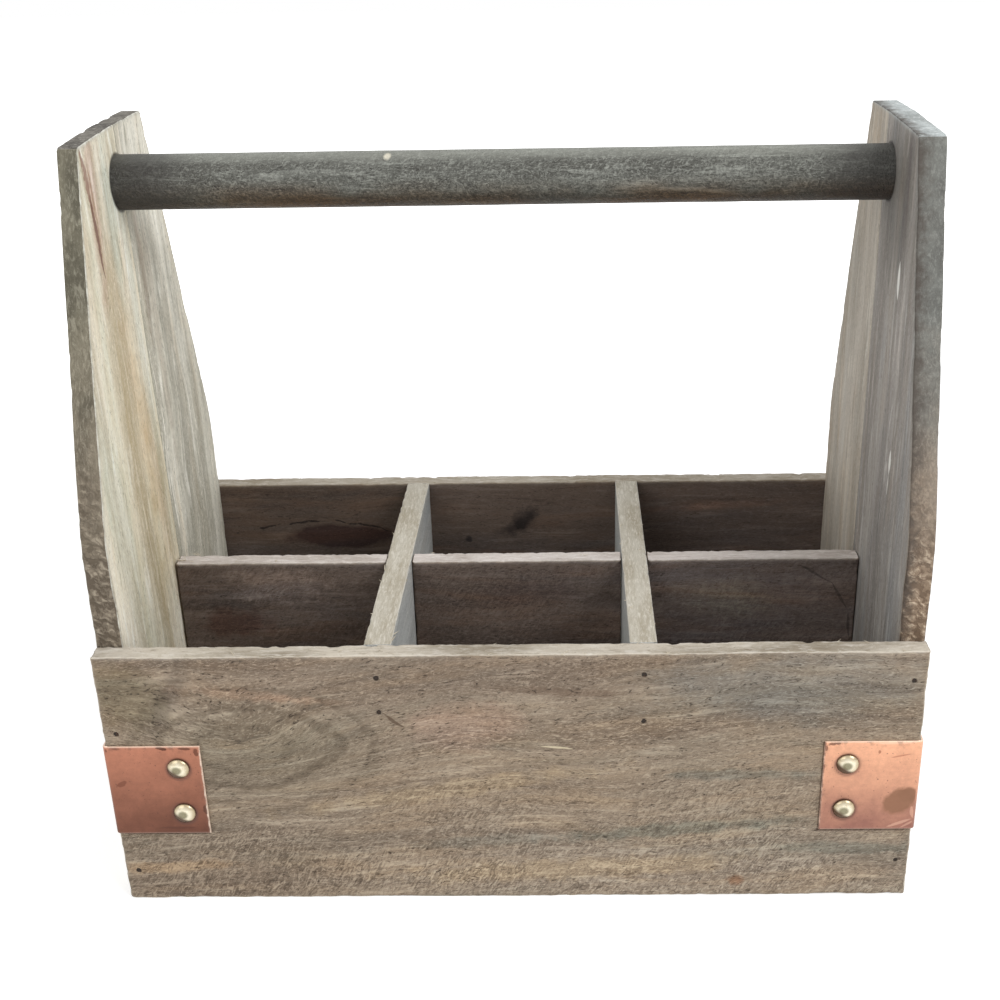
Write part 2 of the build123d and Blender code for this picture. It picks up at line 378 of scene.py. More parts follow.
def newGroup(name, **inlets):
    # the inlets' values say their kind: None or three numbers for a vector, four for a colour
    group = bench["tree"] = bpy.data.node_groups.new(name, "ShaderNodeTree")
    for label, value in inlets.items():
        kind = "Float" if isinstance(value, float) else "Color" if value and len(value) == 4 else "Vector"
        label = label.replace("_", " ")
        socket = group.interface.new_socket(name=label, in_out="INPUT", socket_type="NodeSocket" + kind)
        if value is not None:
            socket.default_value = value
    start = group.nodes.new("NodeGroupInput")
    return [Wire(start.outputs[k]) for k in range(len(inlets))]


def closeGroup(**results):
    group = bench["tree"]
    for label in results:
        kind = {"Color": "Color", "Flow": "Vector"}.get(label, "Float")
        group.interface.new_socket(name=label, in_out="OUTPUT", socket_type="NodeSocket" + kind)
    end = group.nodes.new("NodeGroupOutput")
    for label, wire in results.items():
        group.links.new(wire.socket, end.inputs[label])
    return group


def use(group, **inlets):
    return put("Group", {key.replace("_", " "): value for key, value in inlets.items()}, node_tree=group)


def grainFlowGroup():
    # bends straight grain: slow sways, and one eye that the lines run round
    vector, sway, swayScale, eye, eyeLength, eyeWidth, eyeLift, slope = newGroup(
        "grainFlow", Vector=None, Sway=0.004, Sway_Scale=9.0, Eye=(0, 0, 0), Eye_Length=0.06, Eye_Width=0.03,
        Eye_Lift=0.0, Slope=0.0)
    along, across, through = split(vector)
    swayed = (haze(vec("SCALE", vector, swayScale))[0] - 0.5) * sway
    alongGap, acrossGap, rest = split(vec("SUBTRACT", vector, eye))
    reach = calc("POWER", alongGap / eyeLength, 2.0) + calc("POWER", acrossGap / eyeWidth, 2.0)
    lift = calc("EXPONENT", reach * -1.0) * eyeLift
    return closeGroup(Flow=join(along, across + along * slope + (swayed + lift), through))


def grainGroup():
    # open, interlocked and weathered grain: bands, streaks, crinkled dashes, fibres, flecks and chatter marks
    flow, deep, middle, pale, bandy, streaky, crinkly, fibrous, flecked, rippled, fineness = newGroup(
        "weatheredGrain", Flow=None, Deep=(0.2, 0.15, 0.1, 1), Middle=(0.33, 0.25, 0.17, 1), Pale=(0.45, 0.38, 0.28, 1),
        Bands=0.5, Streaks=0.5, Crinkle=0.5, Fibres=0.5, Flecks=0.4, Ripples=0.0, Fineness=1.0)
    curls = vec("SCALE", flow, fineness)
    bands = cloud(flow, (5, 62, 50), 3.0, 0.55)
    streaks = cloud(flow, (26, 300, 240), 4.0, 0.65, 3.1, 0.5)
    crinkle = cloud(curls, (210, 720, 600), 3.0, 0.64, 7.7, 1.9)
    fibres = cloud(flow, (500, 1900, 1500), 2.0, 0.6, 1.9)
    chatter = cloud(turned(curls, 0, 0, -52), (230, 600, 380), 2.0, 0.6, 4.4, 1.6)
    curly = cloud(curls, (150, 860, 600), 2.0, 0.55, 9.3, 3.2)
    darker = tinted(1.0, deep, (0.42, 0.40, 0.39, 1))
    crest, trough = ramp(chatter, 0.52, 0.64) * rippled, ramp(chatter, 0.47, 0.36) * rippled
    color = coated(
        middle, (ramp(bands, 0.36, 0.66) * bandy, deep), (ramp(streaks, 0.52, 0.70) * streaky, pale),
        (ramp(streaks, 0.46, 0.30) * streaky, deep), (ramp(crinkle, 0.54, 0.68) * (crinkly * 0.6), pale),
        (ramp(crinkle, 0.44, 0.30) * crinkly, darker), (ramp(curly, 0.56, 0.63) * (crinkly * 0.4), pale),
        (crest * 0.7, pale), (trough * 0.6, darker))
    color = tinted(1.0, color, grey(1.0 + (fibres - 0.5) * fibrous))
    color = blendColor(ramp(fibres, 0.62, 0.74) * flecked, color, pale)
    return closeGroup(Color=color, Height=streaks * 0.25 + crinkle * 0.6 + (crest - trough) * 0.3,
                      Roughness=0.62 + fibres * 0.25)


def patchGroup():
    # one soft-edged patch with a ragged outline: 1 inside, 0 outside
    vector, place, size, turn, ragged, raggedScale, soft = newGroup(
        "raggedPatch", Vector=None, Place=(0, 0, 0), Size=(0.05, 0.05, 0.05), Turn=(0, 0, 0), Ragged=0.5,
        Ragged_Scale=60.0, Soft=0.5)
    shares = put("Mapping", {"Vector": vector, "Location": place, "Rotation": turn, "Scale": size},
                 vector_type="TEXTURE")[0]
    reach = vec("LENGTH", shares) + (haze(vector, raggedScale, 4.0, 0.6)[0] - 0.5) * (ragged * 3.0)
    return closeGroup(Mask=calc("ADD", (1.0 - reach) / soft, 0.5, clamp=True), Reach=reach)


def scratchGroup():
    # a thin line from one place to another, broken up along its length
    vector, start, end, wide, broken, wobbly, straight = newGroup(
        "thinLine", Vector=None, From=(0, 0, 0), To=(0, 0, 0.1), Width=0.001, Broken=0.5, Wobble=0.001,
        Straight=0.0)
    wobble = vec("SCALE", vec("SUBTRACT", haze(vector, 90.0, 3.0)[1], (0.5, 0.5, 0.5)), wobbly)
    line = vec("SUBTRACT", end, start)
    offset = vec("SUBTRACT", vec("ADD", vector, wobble), start)
    share = calc("DIVIDE", vec("DOT_PRODUCT", offset, line), vec("DOT_PRODUCT", line, line), clamp=True)
    gap = vec("LENGTH", vec("SUBTRACT", offset, vec("SCALE", line, share)))
    width = wide * calc("MAXIMUM", straight, calc("SINE", share * math.pi) + 0.05)
    kept = 1.0 - ramp(haze(vector, 400.0, 3.0)[0], 0.45, 0.6) * broken
    return closeGroup(Mask=calc("SUBTRACT", 1.0, gap / width, clamp=True) * kept)


def wornEdgeGroup():
    # rubbed arrises: a broken pale line along the edges, from the arris mark of the mesh
    vector, arris, reach, brokenScale = newGroup("wornEdge", Vector=None, Arris=0.0, Reach=0.5, Broken_Scale=260.0)
    return closeGroup(Mask=ramp(arris * (haze(vector, brokenScale, 4.0, 0.65)[0] + reach), 0.55, 1.05))


def sawnGroup():
    # sawn edge, limed by wear: drifts of tone, broken chalky fibres along the grain and dark specks
    spot, base, chalk, shade, chalky = newGroup(
        "limedSawnEdge", Vector=None, Base=(0.45, 0.42, 0.35, 1), Chalk=(0.72, 0.69, 0.62, 1),
        Shade=(0.25, 0.22, 0.17, 1), Chalky=0.5)
    fuzz = cloud(spot, (520, 1100, 1100), 4.0, 0.7, 0.0, 0.8)
    clots = cloud(spot, (110, 520, 520), 4.0, 0.62, 5.5, 0.8)
    drift = cloud(spot, (16, 60, 60), 3.0, 0.5, 2.5)
    color = coated(base, (ramp(drift, 0.38, 0.66, 0.0, 0.75), shade), (ramp(clots, 0.46, 0.70) * chalky, chalk),
                   (ramp(clots, 0.44, 0.30) * 0.6, shade), (ramp(fuzz, 0.56, 0.72) * chalky, chalk),
                   (ramp(fuzz, 0.42, 0.28) * 0.7, shade))
    return closeGroup(Color=color, Height=fuzz + clots * 0.6)


def barkGroup():
    # bark-like edge: rounded slanting folds a few millimetres long, with dark creases between them
    vector, cell, crack, crest = newGroup("foldedEdge", Vector=None, Cell=(0.4, 0.33, 0.26, 1),
                                          Crack=(0.1, 0.08, 0.06, 1), Crest=(0.6, 0.54, 0.46, 1))
    slanted = turned(vec("ADD", vector, vec("SCALE", haze(vector, 240.0, 4.0)[1], 0.0075)), 0, 35, 0)
    lumps = put("TexVoronoi", {"Vector": stretched(slanted, (440, 230, 210)), "Scale": 1.0})[0]
    folds = cloud(slanted, (620, 260, 300), 3.0, 0.6, 3.3, 1.2)
    grit = cloud(vector, (1000, 1300, 1300), 4.0, 0.7)
    rise = 1.0 - lumps + (folds - 0.5) * 1.1 + (grit - 0.5) * 0.5
    color = coated(crack, (ramp(rise, 0.30, 0.54), cell), (ramp(rise, 0.58, 0.86, 0.0, 0.9), crest))
    return closeGroup(Color=color, Height=ramp(rise, 0.2, 0.9))


def copperGroup():
    # aged copper sheet: a fade from the top colour down to the foot colour that is painted reflection of the shaded
    # floor, cloudy patina, brush lines and dark specks
    vector, top, low, lowHeight, topHeight, seed = newGroup(
        "agedCopperAndReflection", Vector=None, Top=(0.8, 0.45, 0.3, 1), Low=(0.4, 0.2, 0.14, 1), Low_Height=0.0, Top_Height=0.1,
        Seed=0.0)
    moved = vec("ADD", vector, seed)
    clouds = cloud(moved, (60, 60, 60), 4.0, 0.6)
    mottles = cloud(moved, (420, 420, 420), 3.0, 0.6, 2.0)
    brush = cloud(moved, (90, 90, 2600), 2.0, 0.5, 4.0)
    specks = cloud(moved, (900, 900, 900), 1.0, 0.5, 8.0)
    grains = cloud(moved, (1300, 1300, 1300), 3.0, 0.6, 6.0)
    span = put("MapRange", {0: split(vector)[2], 1: lowHeight, 2: topHeight})[0]
    color = blendColor(calc("ADD", span, (clouds - 0.5) * 0.7, clamp=True), low, top)
    color = tinted(1.0, color, grey(0.70 + (mottles + grains * 0.45) * 0.42 + (brush - 0.5) * 0.12))
    color = blendColor(ramp(specks, 0.70, 0.78) * 0.55, color, (0.09, 0.04, 0.03, 1))
    return closeGroup(Color=color, Height=brush * 0.5 + mottles * 0.5, Roughness=mottles * 0.25)


grainFlow, weatheredGrain, raggedPatch, thinLine = grainFlowGroup(), grainGroup(), patchGroup(), scratchGroup()
wornEdge, limedEdge, foldedEdge, agedCopperAndReflection = wornEdgeGroup(), sawnGroup(), barkGroup(), copperGroup()
print("shader groups built:", len(bpy.data.node_groups))


def newMaterial(name):
    material = bpy.data.materials.new(name)
    material.use_nodes = True
    bench["tree"] = material.node_tree
    material.node_tree.nodes.clear()
    return material


def closeMaterial(material, values, bump=None):
    # the shader at the end; bump is its strength, its distance in metres and the height
    if bump:
        values["Normal"] = put("Bump", dict(zip(("Strength", "Distance", "Height"), bump)))[0]
    put("OutputMaterial", {0: put("BsdfPrincipled", values)[0]})
    return material


def rgb(*tone):
    # three numbers are a colour as seen on screen, 0 to 255; four are linear light already
    linear = lambda c: (c / 255 / 12.92) if c <= 10 else ((c / 255 + 0.055) / 1.055) ** 2.4
    return tone if len(tone) == 4 else (*map(linear, tone), 1)


def tintOf(color, base):
    # what a base colour is multiplied by to give this colour, so that the grain shows through a stain
    return tuple(min(a / b, 2.2) for a, b in zip(color[:3], base[:3])) + (1,)


def patchMask(flat, x, y, long, wide, ragged, soft=0.7, turn=0, scale=60.0):
    return use(raggedPatch, Vector=flat, Place=(x, y, 0), Size=(long, wide, 1), Turn=(0, 0, math.radians(turn)),
               Ragged=ragged, Ragged_Scale=scale, Soft=soft)


def thinLineMask(flat, x0, y0, x1, y1, width, broken=0.4, wobble=0.002, straight=0, depth=0.4):
    mask = use(thinLine, Vector=flat, From=(x0, y0, 0), To=(x1, y1, 0), Width=width, Broken=broken, Wobble=wobble,
               Straight=straight)[0]
    return mask, depth


def picked(wood, names, prefix=""):
    # values of a wood for the inlets of a group: Sway_Scale from swayScale, or Base from sideBase with a prefix
    keys = [prefix + name.replace("_", "") for name in names.split()]
    return {name: wood[key[0].lower() + key[1:]] for name, key in zip(names.split(), keys)}


def limedLook(shifted, wood, prefix):
    values = picked(wood, "Base Chalk Shade Chalky", prefix)
    return use(limedEdge, Vector=stretched(shifted, wood[prefix + "Fine"]), **values)


def woodMaterial(name, wood):
    # wood holds the board's colours, figure, patches and lines, some of them painted light and shadow; places are along
    # and across the grain
    material, place = newMaterial(name), objectPlace()
    parts = split(place)
    order = {"xz": (0, 2, 1), "zy": (2, 1, 0), "yz": (1, 2, 0), "xy": (0, 1, 2)}[wood["plane"]]
    flat = join(*[parts[k] for k in order[:2]])
    shifted = vec("ADD", join(*[parts[k] for k in order]), wood["shift"])
    eye = tuple(a + b for a, b in zip((*wood["eye"], 0), wood["shift"]))
    flow = use(grainFlow, Vector=shifted, Eye=eye, Eye_Length=wood["eyeSize"][0], Eye_Width=wood["eyeSize"][1],
               **picked(wood, "Sway Sway_Scale Eye_Lift Slope"))[0]
    ripples = (ramp(parts[order[1]], *wood["rippleZone"]) + wood["rippleBase"]) * wood["ripples"]
    ripples = ripples * ramp(cloud(shifted, (20, 45, 40), 3.0, 0.6, 14.0), 0.35, 0.6, 0.35)
    color, height, rough = use(weatheredGrain, Flow=flow, Ripples=ripples, **picked(
        wood, "Deep Middle Pale Bands Streaks Crinkle Fibres Flecks Fineness"))

    # slow drifts of warm and cool over the whole board
    for label, scales, shift in (("warm", (11, 70, 40), 6.0), ("cool", (8, 45, 30), 11.0)):
        share = ramp(cloud(flow, scales, 5.0, 0.65, shift, 0.4), 0.46, 0.70) * wood[label + "Share"]
        color = tinted(share, color, tintOf(wood[label], wood["middle"]))
    figured = mark(wood["figured"])
    if wood["rings"]:
        reach = patchMask(flat, *wood["eye"], *wood["ringSize"], 0.3, scale=26.0)[1]
        wave = ramp(calc("SINE", reach * wood["ringCount"]), 0.2, 0.95)
        fade = ramp(reach, 2.1, 1.0) * ramp(reach, 0.35, 0.75) * figured
        color = tinted(wave * fade * wood["rings"], color, (0.62, 0.60, 0.58, 1))
    for x, y, long, wide, ragged, strength, tone, *more in wood["patches"]:
        share = patchMask(flat, x, y, long, wide, ragged, *more)[0] * figured * strength
        color = tinted(share, color, tintOf(rgb(*tone), wood["middle"]))
    # thin lines: scratches, and on the front panel painted shadow lines by the straps
    for x0, y0, x1, y1, width, strength, tone, *more in wood["scratchesAndShadowLines"]:
        mask, depth = thinLineMask(flat, x0, y0, x1, y1, width, *more)
        share = ramp(mask, 0.0, 0.45) * (figured * strength)
        color = blendColor(share, color, rgb(*tone))
        height = height - share * depth

    # dark inner faces, then the sawn sides, the limed top edge, rubbed arrises and black pits
    # inner faces made darker, with pale specks of dust
    specks = ramp(cloud(shifted, (900, 1300, 1100), 2.0, 0.6, 12.0), 0.66, 0.74, 0.0, 0.5)
    darkerInside = blendColor(specks, tinted(1.0, color, wood["innerTint"]), wood["dust"])
    inside = calc("ADD", mark("innerFace") * wood["innerDark"], mark("otherFace") * wood["otherDark"], clamp=True)
    color = blendColor(inside, color, darkerInside)
    color = tinted(figured, color, (wood["gain"],) * 3 + (1,))
    if wood["sideBase"]:
        sideColor, sideHeight = limedLook(shifted, wood, "side")
        if wood["bark"]:
            foldColor, foldHeight = use(foldedEdge, Vector=shifted, **picked(wood, "Cell Crack Crest", "bark"))
            above = parts[2] + (cloud(shifted, (60, 60, 60), 3.0, 0.6, 8.0) - 0.5) * 0.06
            folded = ramp(above, wood["barkTop"], wood["barkFull"]) * wood["bark"]
            warmed = ramp(above, wood["barkTop"] + 0.06, wood["barkTop"] - 0.03) * 0.55
            sideColor = tinted(warmed, sideColor, tintOf(wood["barkCell"], wood["sideBase"]))
            sideColor = blendColor(folded, sideColor, foldColor)
            sideHeight = sideHeight + folded * foldHeight * 4.5
        rim = mark("rim")
        color = blendColor(rim, color, sideColor)
        height = height + rim * sideHeight
    limedColor, limedHeight = limedLook(shifted, wood, "limed")
    topShare = mark("topRim") * wood["limed"]
    worn = use(wornEdge, Vector=place, Arris=mark("arris"), Reach=wood["rubbed"])[0]
    color = coated(color, (topShare, limedColor), (worn * wood["rubShare"], wood["rubbedColor"]),
                   (mark("pit") * 0.88, (0.022, 0.017, 0.013, 1)))
    return closeMaterial(material, {"Base Color": color, "Roughness": rough, "Specular IOR Level": 0.25},
                         (wood["relief"], 0.0006, height + topShare * limedHeight * 0.5))


plainWood = {
    "plane": "xz", "figured": "innerFace", "fineness": 1.0, "dust": rgb(128, 116, 106), "shift": (0, 0, 0),
    "sway": 0.010, "swayScale": 11.0, "eye": (0, 0), "eyeSize": (0.05, 0.03), "eyeLift": 0.0, "slope": 0.0,
    "rings": 0.0, "deep": rgb(112, 96, 80), "middle": rgb(150, 131, 110), "pale": rgb(186, 168, 145), "bands": 0.5,
    "streaks": 0.55, "crinkle": 0.6, "fibres": 0.5, "flecks": 0.35, "ripples": 0.0, "rippleZone": (0.06, 0.03),
    "rippleBase": 0.25, "ringCount": 12.0, "ringSize": (0.036, 0.020), "warm": rgb(172, 133, 98), "warmShare": 0.4,
    "cool": rgb(126, 122, 115), "coolShare": 0.4, "patches": [], "scratchesAndShadowLines": [], "innerDark": 0.0, "otherDark": 0.0,
    "innerTint": (0.375, 0.37, 0.44, 1), "limed": 0.0, "limedBase": rgb(182, 173, 158),
    "limedChalk": rgb(222, 216, 206), "limedShade": rgb(146, 134, 114), "limedFine": (1.0, 1.0, 1.0),
    "limedChalky": 0.6, "sideBase": None, "sideFine": (2.2, 0.6, 1.5), "sideChalky": 0.4,
    "sideChalk": rgb(190, 184, 168), "sideShade": rgb(96, 90, 76), "bark": 0.0, "barkCell": rgb(160, 138, 112),
    "barkCrack": rgb(70, 58, 46), "barkCrest": rgb(206, 190, 164), "barkTop": 0.185, "barkFull": 0.15, "gain": 1.0,
    "rubbed": 0.35, "rubShare": 0.75, "rubbedColor": rgb(190, 182, 168), "relief": 0.6
}
plainWear = {
    "step": 1.7 * mm, "glued": (), "seed": 1, "arris": 1.0 * mm, "chip": 1.3 * mm, "chipFrom": 0.35,
    "chipScale": 130, "wave": 0.35 * mm, "waveScale": 22, "bark": 0.25 * mm, "barkScale": 420, "barkFrom": 0.0,
    "barkTo": 10.0, "dip": 0.12 * mm, "innerSide": 1, "boxed": False, "bothInside": False, "thin": 0.0,
    "thinFrom": 0.0, "thinTo": 1.0, "rubWidth": 1.4 * mm, "rimRubWidth": 0.9 * mm, "innerRub": False,
    "sideWear": 0.3
}


def placed(node):
    return [Vector(corner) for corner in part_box(node)]


def finishPiece(piece, node):
    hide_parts(node)
    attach(piece, "root")


# front and back panels
frontWood = dict(
    plainWood, deep=rgb(104, 90, 77), middle=rgb(142, 126, 108), pale=rgb(182, 167, 147), figured="otherFace",
    shift=(0.31, 0.12, 0.0), eye=(-0.1100, 0.0770), eyeSize=(0.050, 0.025), eyeLift=0.020, warm=rgb(158, 134, 106),
    cool=rgb(120, 112, 98), sway=0.018, swayScale=10.0, slope=-0.06, rings=0.72, ringCount=14.0, limed=0.95,
    limedBase=rgb(200, 191, 176), limedShade=rgb(128, 116, 98), innerDark=0.95, ripples=0.7,
    rubbedColor=rgb(214, 206, 192), rippleZone=(0.080, 0.020), rippleBase=0.35, crinkle=1.15, streaks=0.7, bands=0.7,
    rubbed=0.5, sideBase=rgb(150, 136, 118),
    patches=[
        (0.122, 0.106, 0.056, 0.0155, 0.45, 0.7, (130, 124, 114)),
        (-0.03, 0.114, 0.15, 0.017, 0.5, 0.5, (122, 106, 92), 1.4),
        (0.08, 0.012, 0.11, 0.02, 0.5, 0.5, (158, 144, 128), 1.4),
        (-0.125, 0.01, 0.05, 0.017, 0.5, 0.5, (124, 107, 90), 1.4),
        (-0.108, 0.1035, 0.024, 0.0026, 0.8, 0.4, (168, 140, 116), 0.7, -6, 140.0),
        (-0.086, 0.101, 0.018, 0.0015, 0.9, 0.3, (166, 138, 114), 0.7, -4, 140.0),
        (-0.159, 0.103, 0.013, 0.018, 0.45, 0.85, (122, 109, 88), 0.7, 62, 150.0),
        (-0.1415, 0.101, 0.019, 0.0042, 0.45, 0.75, (108, 95, 82), 0.9, 61, 110.0),
        (-0.106, 0.0775, 0.042, 0.02, 0.25, 0.6, (128, 117, 99), 0.9),
        (0.072, 0.0355, 0.05, 0.003, 0.8, 0.75, (112, 107, 94), 0.7, 5, 90.0),
        (0.15, 0.025, 0.03, 0.003, 0.8, 0.7, (112, 107, 94), 0.7, 0, 90.0),
        (0.096, 0.063, 0.026, 0.0026, 0.8, 0.7, (112, 106, 94), 0.7, 0, 90.0),
        (-0.01, 0.03, 0.03, 0.003, 0.8, 0.5, (116, 110, 98), 0.7, 4, 90.0),
        (-0.15, 0.017, 0.026, 0.0028, 0.7, 0.55, (168, 140, 108), 0.7, 3, 120.0),
        (0.03, 0.015, 0.07, 0.005, 0.8, 0.45, (166, 142, 110), 0.7, 3, 90.0),
        (-0.03, 0.056, 0.06, 0.004, 0.8, 0.45, (166, 144, 114), 0.7, 9, 90.0),
        (0.0958, 0.0083, 0.003, 0.0026, 0.6, 0.7, (120, 84, 58), 0.7, 0, 300.0),
        (0.02, 0.104, 0.026, 0.0018, 0.9, 0.5, (104, 84, 68), 0.7, -4, 130.0),
        (-0.02, 0.088, 0.022, 0.01, 0.6, 0.35, (168, 138, 120))],
    scratchesAndShadowLines=[
        (-0.1214, 0.079, -0.096, 0.085, 0.0008, 0.6, (92, 82, 70), 0.3, 0.004),
        (0.0115, 0.0779, 0.0265, 0.0764, 0.0006, 0.8, (212, 198, 168), 0.3, 0.002, 0, -0.2),
        (-0.0531, 0.0945, -0.044, 0.088, 0.0011, 0.75, (84, 66, 52), 0.3, 0.004),
        (-0.107, 0.1, -0.106, 0.09, 0.0009, 0.5, (96, 82, 68), 0.4, 0.004),
        # painted shadow: the last three lines run along the right strap's left edge and under both straps
        (0.1301, 0.0362, 0.1301, 0.0785, 0.0006, 0.6, (72, 52, 42), 0.0, 0.0, 1),
        (0.13, 0.035, 0.166, 0.035, 0.0012, 0.6, (70, 50, 42), 0.2, 0.0, 1),
        (-0.166, 0.0352, -0.131, 0.0352, 0.0009, 0.65, (62, 46, 38), 0.1, 0.0, 1)])
backWood = dict(
    plainWood, shift=(0.93, 0.47, 0.3), eye=(0.05, 0.05), eyeSize=(0.05, 0.022), eyeLift=0.010, rings=0.3,
    limed=0.95, innerDark=0.95, ripples=0.5, sideBase=rgb(150, 138, 122), innerTint=(0.355, 0.345, 0.40, 1),
    patches=[
        (0.0005, 0.099, 0.0085, 0.0042, 0.6, 0.85, (0.045, 0.035, 0.03, 1), 1.0, 48, 170.0),
        (-0.029, 0.0887, 0.0016, 0.0016, 0.9, 0.8, (0.05, 0.04, 0.035, 1), 0.7, 0, 300.0),
        (-0.006, 0.095, 0.0085, 0.0022, 0.6, 0.5, (0.06, 0.045, 0.04, 1), 1.2, 24, 170.0),
        (-0.096, 0.0915, 0.026, 0.0066, 0.35, 0.8, (88, 62, 56), 0.3),
        (0.105, 0.107, 0.03, 0.002, 0.9, 0.6, (176, 146, 120), 0.7, 4, 110.0),
        # painted light: the last patch lightens the right compartment, as the same patch on the long divider does
        (0.115, 0.09, 0.06, 0.05, 0.4, 0.8, (163, 144, 124), 1.0)],
    scratchesAndShadowLines=[
        (-0.157, 0.0945, -0.127, 0.0985, 0.0008, 0.75, (0.026, 0.018, 0.015, 1), 0.45, 0.005),
        (-0.13, 0.098, -0.1, 0.1012, 0.0008, 0.75, (0.026, 0.018, 0.015, 1), 0.45, 0.005),
        (-0.103, 0.101, -0.068, 0.0945, 0.0008, 0.75, (0.026, 0.018, 0.015, 1), 0.45, 0.005)])
bradPit, screwPit = 1.15 * mm, 4.7 * mm


def bradSpots(node, across, up, side):
    # one pit for each brad of a node, found from its loose pieces
    form = bmesh.new()
    form.from_mesh(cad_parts[node].data)
    left, centres = set(form.verts), []
    while left:
        queue, group = [left.pop()], []
        while queue:
            vert = queue.pop()
            group.append(vert.co.copy())
            linked = {edge.other_vert(vert) for edge in vert.link_edges} & left
            left -= linked
            queue += linked
        centre = sum(group, Vector()) / len(group)
        centres.append((round(centre[across], 4), round(centre[up], 4)))
    form.free()
    spots = []
    for centre in sorted(centres):
        if all(math.dist(centre, kept[:2]) > 2 * mm for kept in spots):
            spots.append((*centre, side, bradPit))
    return spots


def makeBoard(node, axes, corner, wear, material, pits=()):
    low, high = placed(node)
    a, b, c = ("xyz".index(axis) for axis in axes)
    sides = rectangle(low[a], low[b], high[a], high[b], corner)
    finishPiece(slab("worn_" + node, sides, low[c], high[c], axes, wear, material, pits), node)


frontWear = dict(
    plainWear, seed=3, innerSide=1, arris=0.9 * mm, chip=1.3 * mm, chipFrom=0.3, chipScale=190,
    wave=0.6 * mm, waveScale=40, boxed=True)
backWear = dict(plainWear, seed=8, innerSide=-1, wave=0.5 * mm, boxed=True)
makeBoard("front_panel", "xzy", 1.1 * mm, frontWear, woodMaterial("front_panel_wood", frontWood),
          bradSpots("front_brads", 0, 2, -1))
makeBoard("back_panel", "xzy", 0.9 * mm, backWear, woodMaterial("back_panel_wood", backWood),
          bradSpots("back_brads", 0, 2, 1))
print("panels made")

# end boards, each of two glued planks
endBoard = {
    "kinkRadius": 80 * mm, "cornerRadius": 3.2 * mm, "topHalfWidth": 43.5 * mm, "crownRise": 3 * mm,
    "crownCurve": 2.0, "kinkAboveBox": 43 * mm, "rodBelowTop": 24 * mm, "leftThinner": 2.9 * mm
}
boxTop, footHalf = placed("front_panel")[1].z, placed("floor_board")[1].y
boardTop, rightInner = placed("left_end_front_plank")[1].z, placed("right_end_front_plank")[0].x
rodAxis = Vector((0, 0, boardTop - endBoard["rodBelowTop"]))
rodRadius = (placed("handle_rod")[1].y - placed("handle_rod")[0].y) / 2


def crownHeight(y):
    # hand-sawn top: lowest at the front corner, easing up to the back
    share = (endBoard["topHalfWidth"] - y) / (2 * endBoard["topHalfWidth"])
    return boardTop - endBoard["crownRise"] * share ** endBoard["crownCurve"]


def plankSides(glueLine, row):
    # outline of one plank from its foot up the outer edge and over the crown to the glue line
    half = endBoard["topHalfWidth"]
    shoulder = (row * half, crownHeight(row * half))
    crown = [(y, crownHeight(y)) for y in np.linspace(row * half, glueLine, 12)][1:]
    corners = [(row * footHalf, 0), (row * footHalf, boxTop + endBoard["kinkAboveBox"]), shoulder] + crown
    path = roundedPath(corners, [0, endBoard["kinkRadius"], endBoard["cornerRadius"]] + [0] * len(crown))
    turn = int(np.argmin(np.linalg.norm(path - np.array(shoulder), axis=1)))
    outer, top = path[:turn + 1], path[turn:]
    joint = [(glueLine, 0), (glueLine, top[-1][1])]
    foot = [(row * footHalf, 0), (glueLine, 0)]
    return (foot, joint, top, outer) if row < 0 else (foot[::-1], outer, top[::-1], joint)


def makePlank(node, row, side, wood, wear):
    low, high = placed(node)
    pits = bradSpots(node.split("_")[0] + "_end_brads", 1, 2, side)
    pits.append((0.0, rodAxis.z, side, screwPit))  # the recess round the screw head
    pits = [pit for pit in pits if low.y < pit[0] < high.y]
    wear = dict(wear, glued=("right",) if row < 0 else ("left",), innerSide=-side)
    piece = slab("worn_" + node, plankSides(high.y if row < 0 else low.y, row), low.x, high.x, "yzx", wear,
                 woodMaterial(node + "_wood", wood), pits)
    finishPiece(piece, node)


# painted shade: a dark ring round the rod on each plank, for the gap where it enters
ringSize = rodRadius + 0.8 * mm  # the dark ring where the rod enters
socketPatch = (rodAxis.z, 0, ringSize, ringSize, 0.02, 0.8, (0.03, 0.026, 0.02, 1), 0.08)
endWear = dict(
    plainWear, rubWidth=2.0 * mm, arris=0.9 * mm, chip=1.2 * mm, chipFrom=0.34, wave=0.7 * mm, waveScale=16,
    sideWear=0.6, bark=0.9 * mm, barkScale=260, barkFrom=boxTop + 30 * mm, barkTo=boxTop + 80 * mm)
leftWood = dict(
    plainWood, plane="zy", sideBase=rgb(120, 115, 99), sideChalk=rgb(172, 168, 150), sideShade=rgb(80, 76, 64),
    bark=0.9, barkCell=rgb(132, 120, 104), barkCrack=rgb(96, 85, 72), barkCrest=rgb(168, 156, 138), barkTop=0.215,
    barkFull=0.155, limed=1.0, limedBase=rgb(112, 108, 100), limedChalk=rgb(176, 172, 164),
    limedShade=rgb(62, 58, 54), limedChalky=0.5, rubbed=0.42, rubShare=0.9, rubbedColor=rgb(246, 245, 234),
    crinkle=0.45, flecks=0.35, sideChalky=0.45)
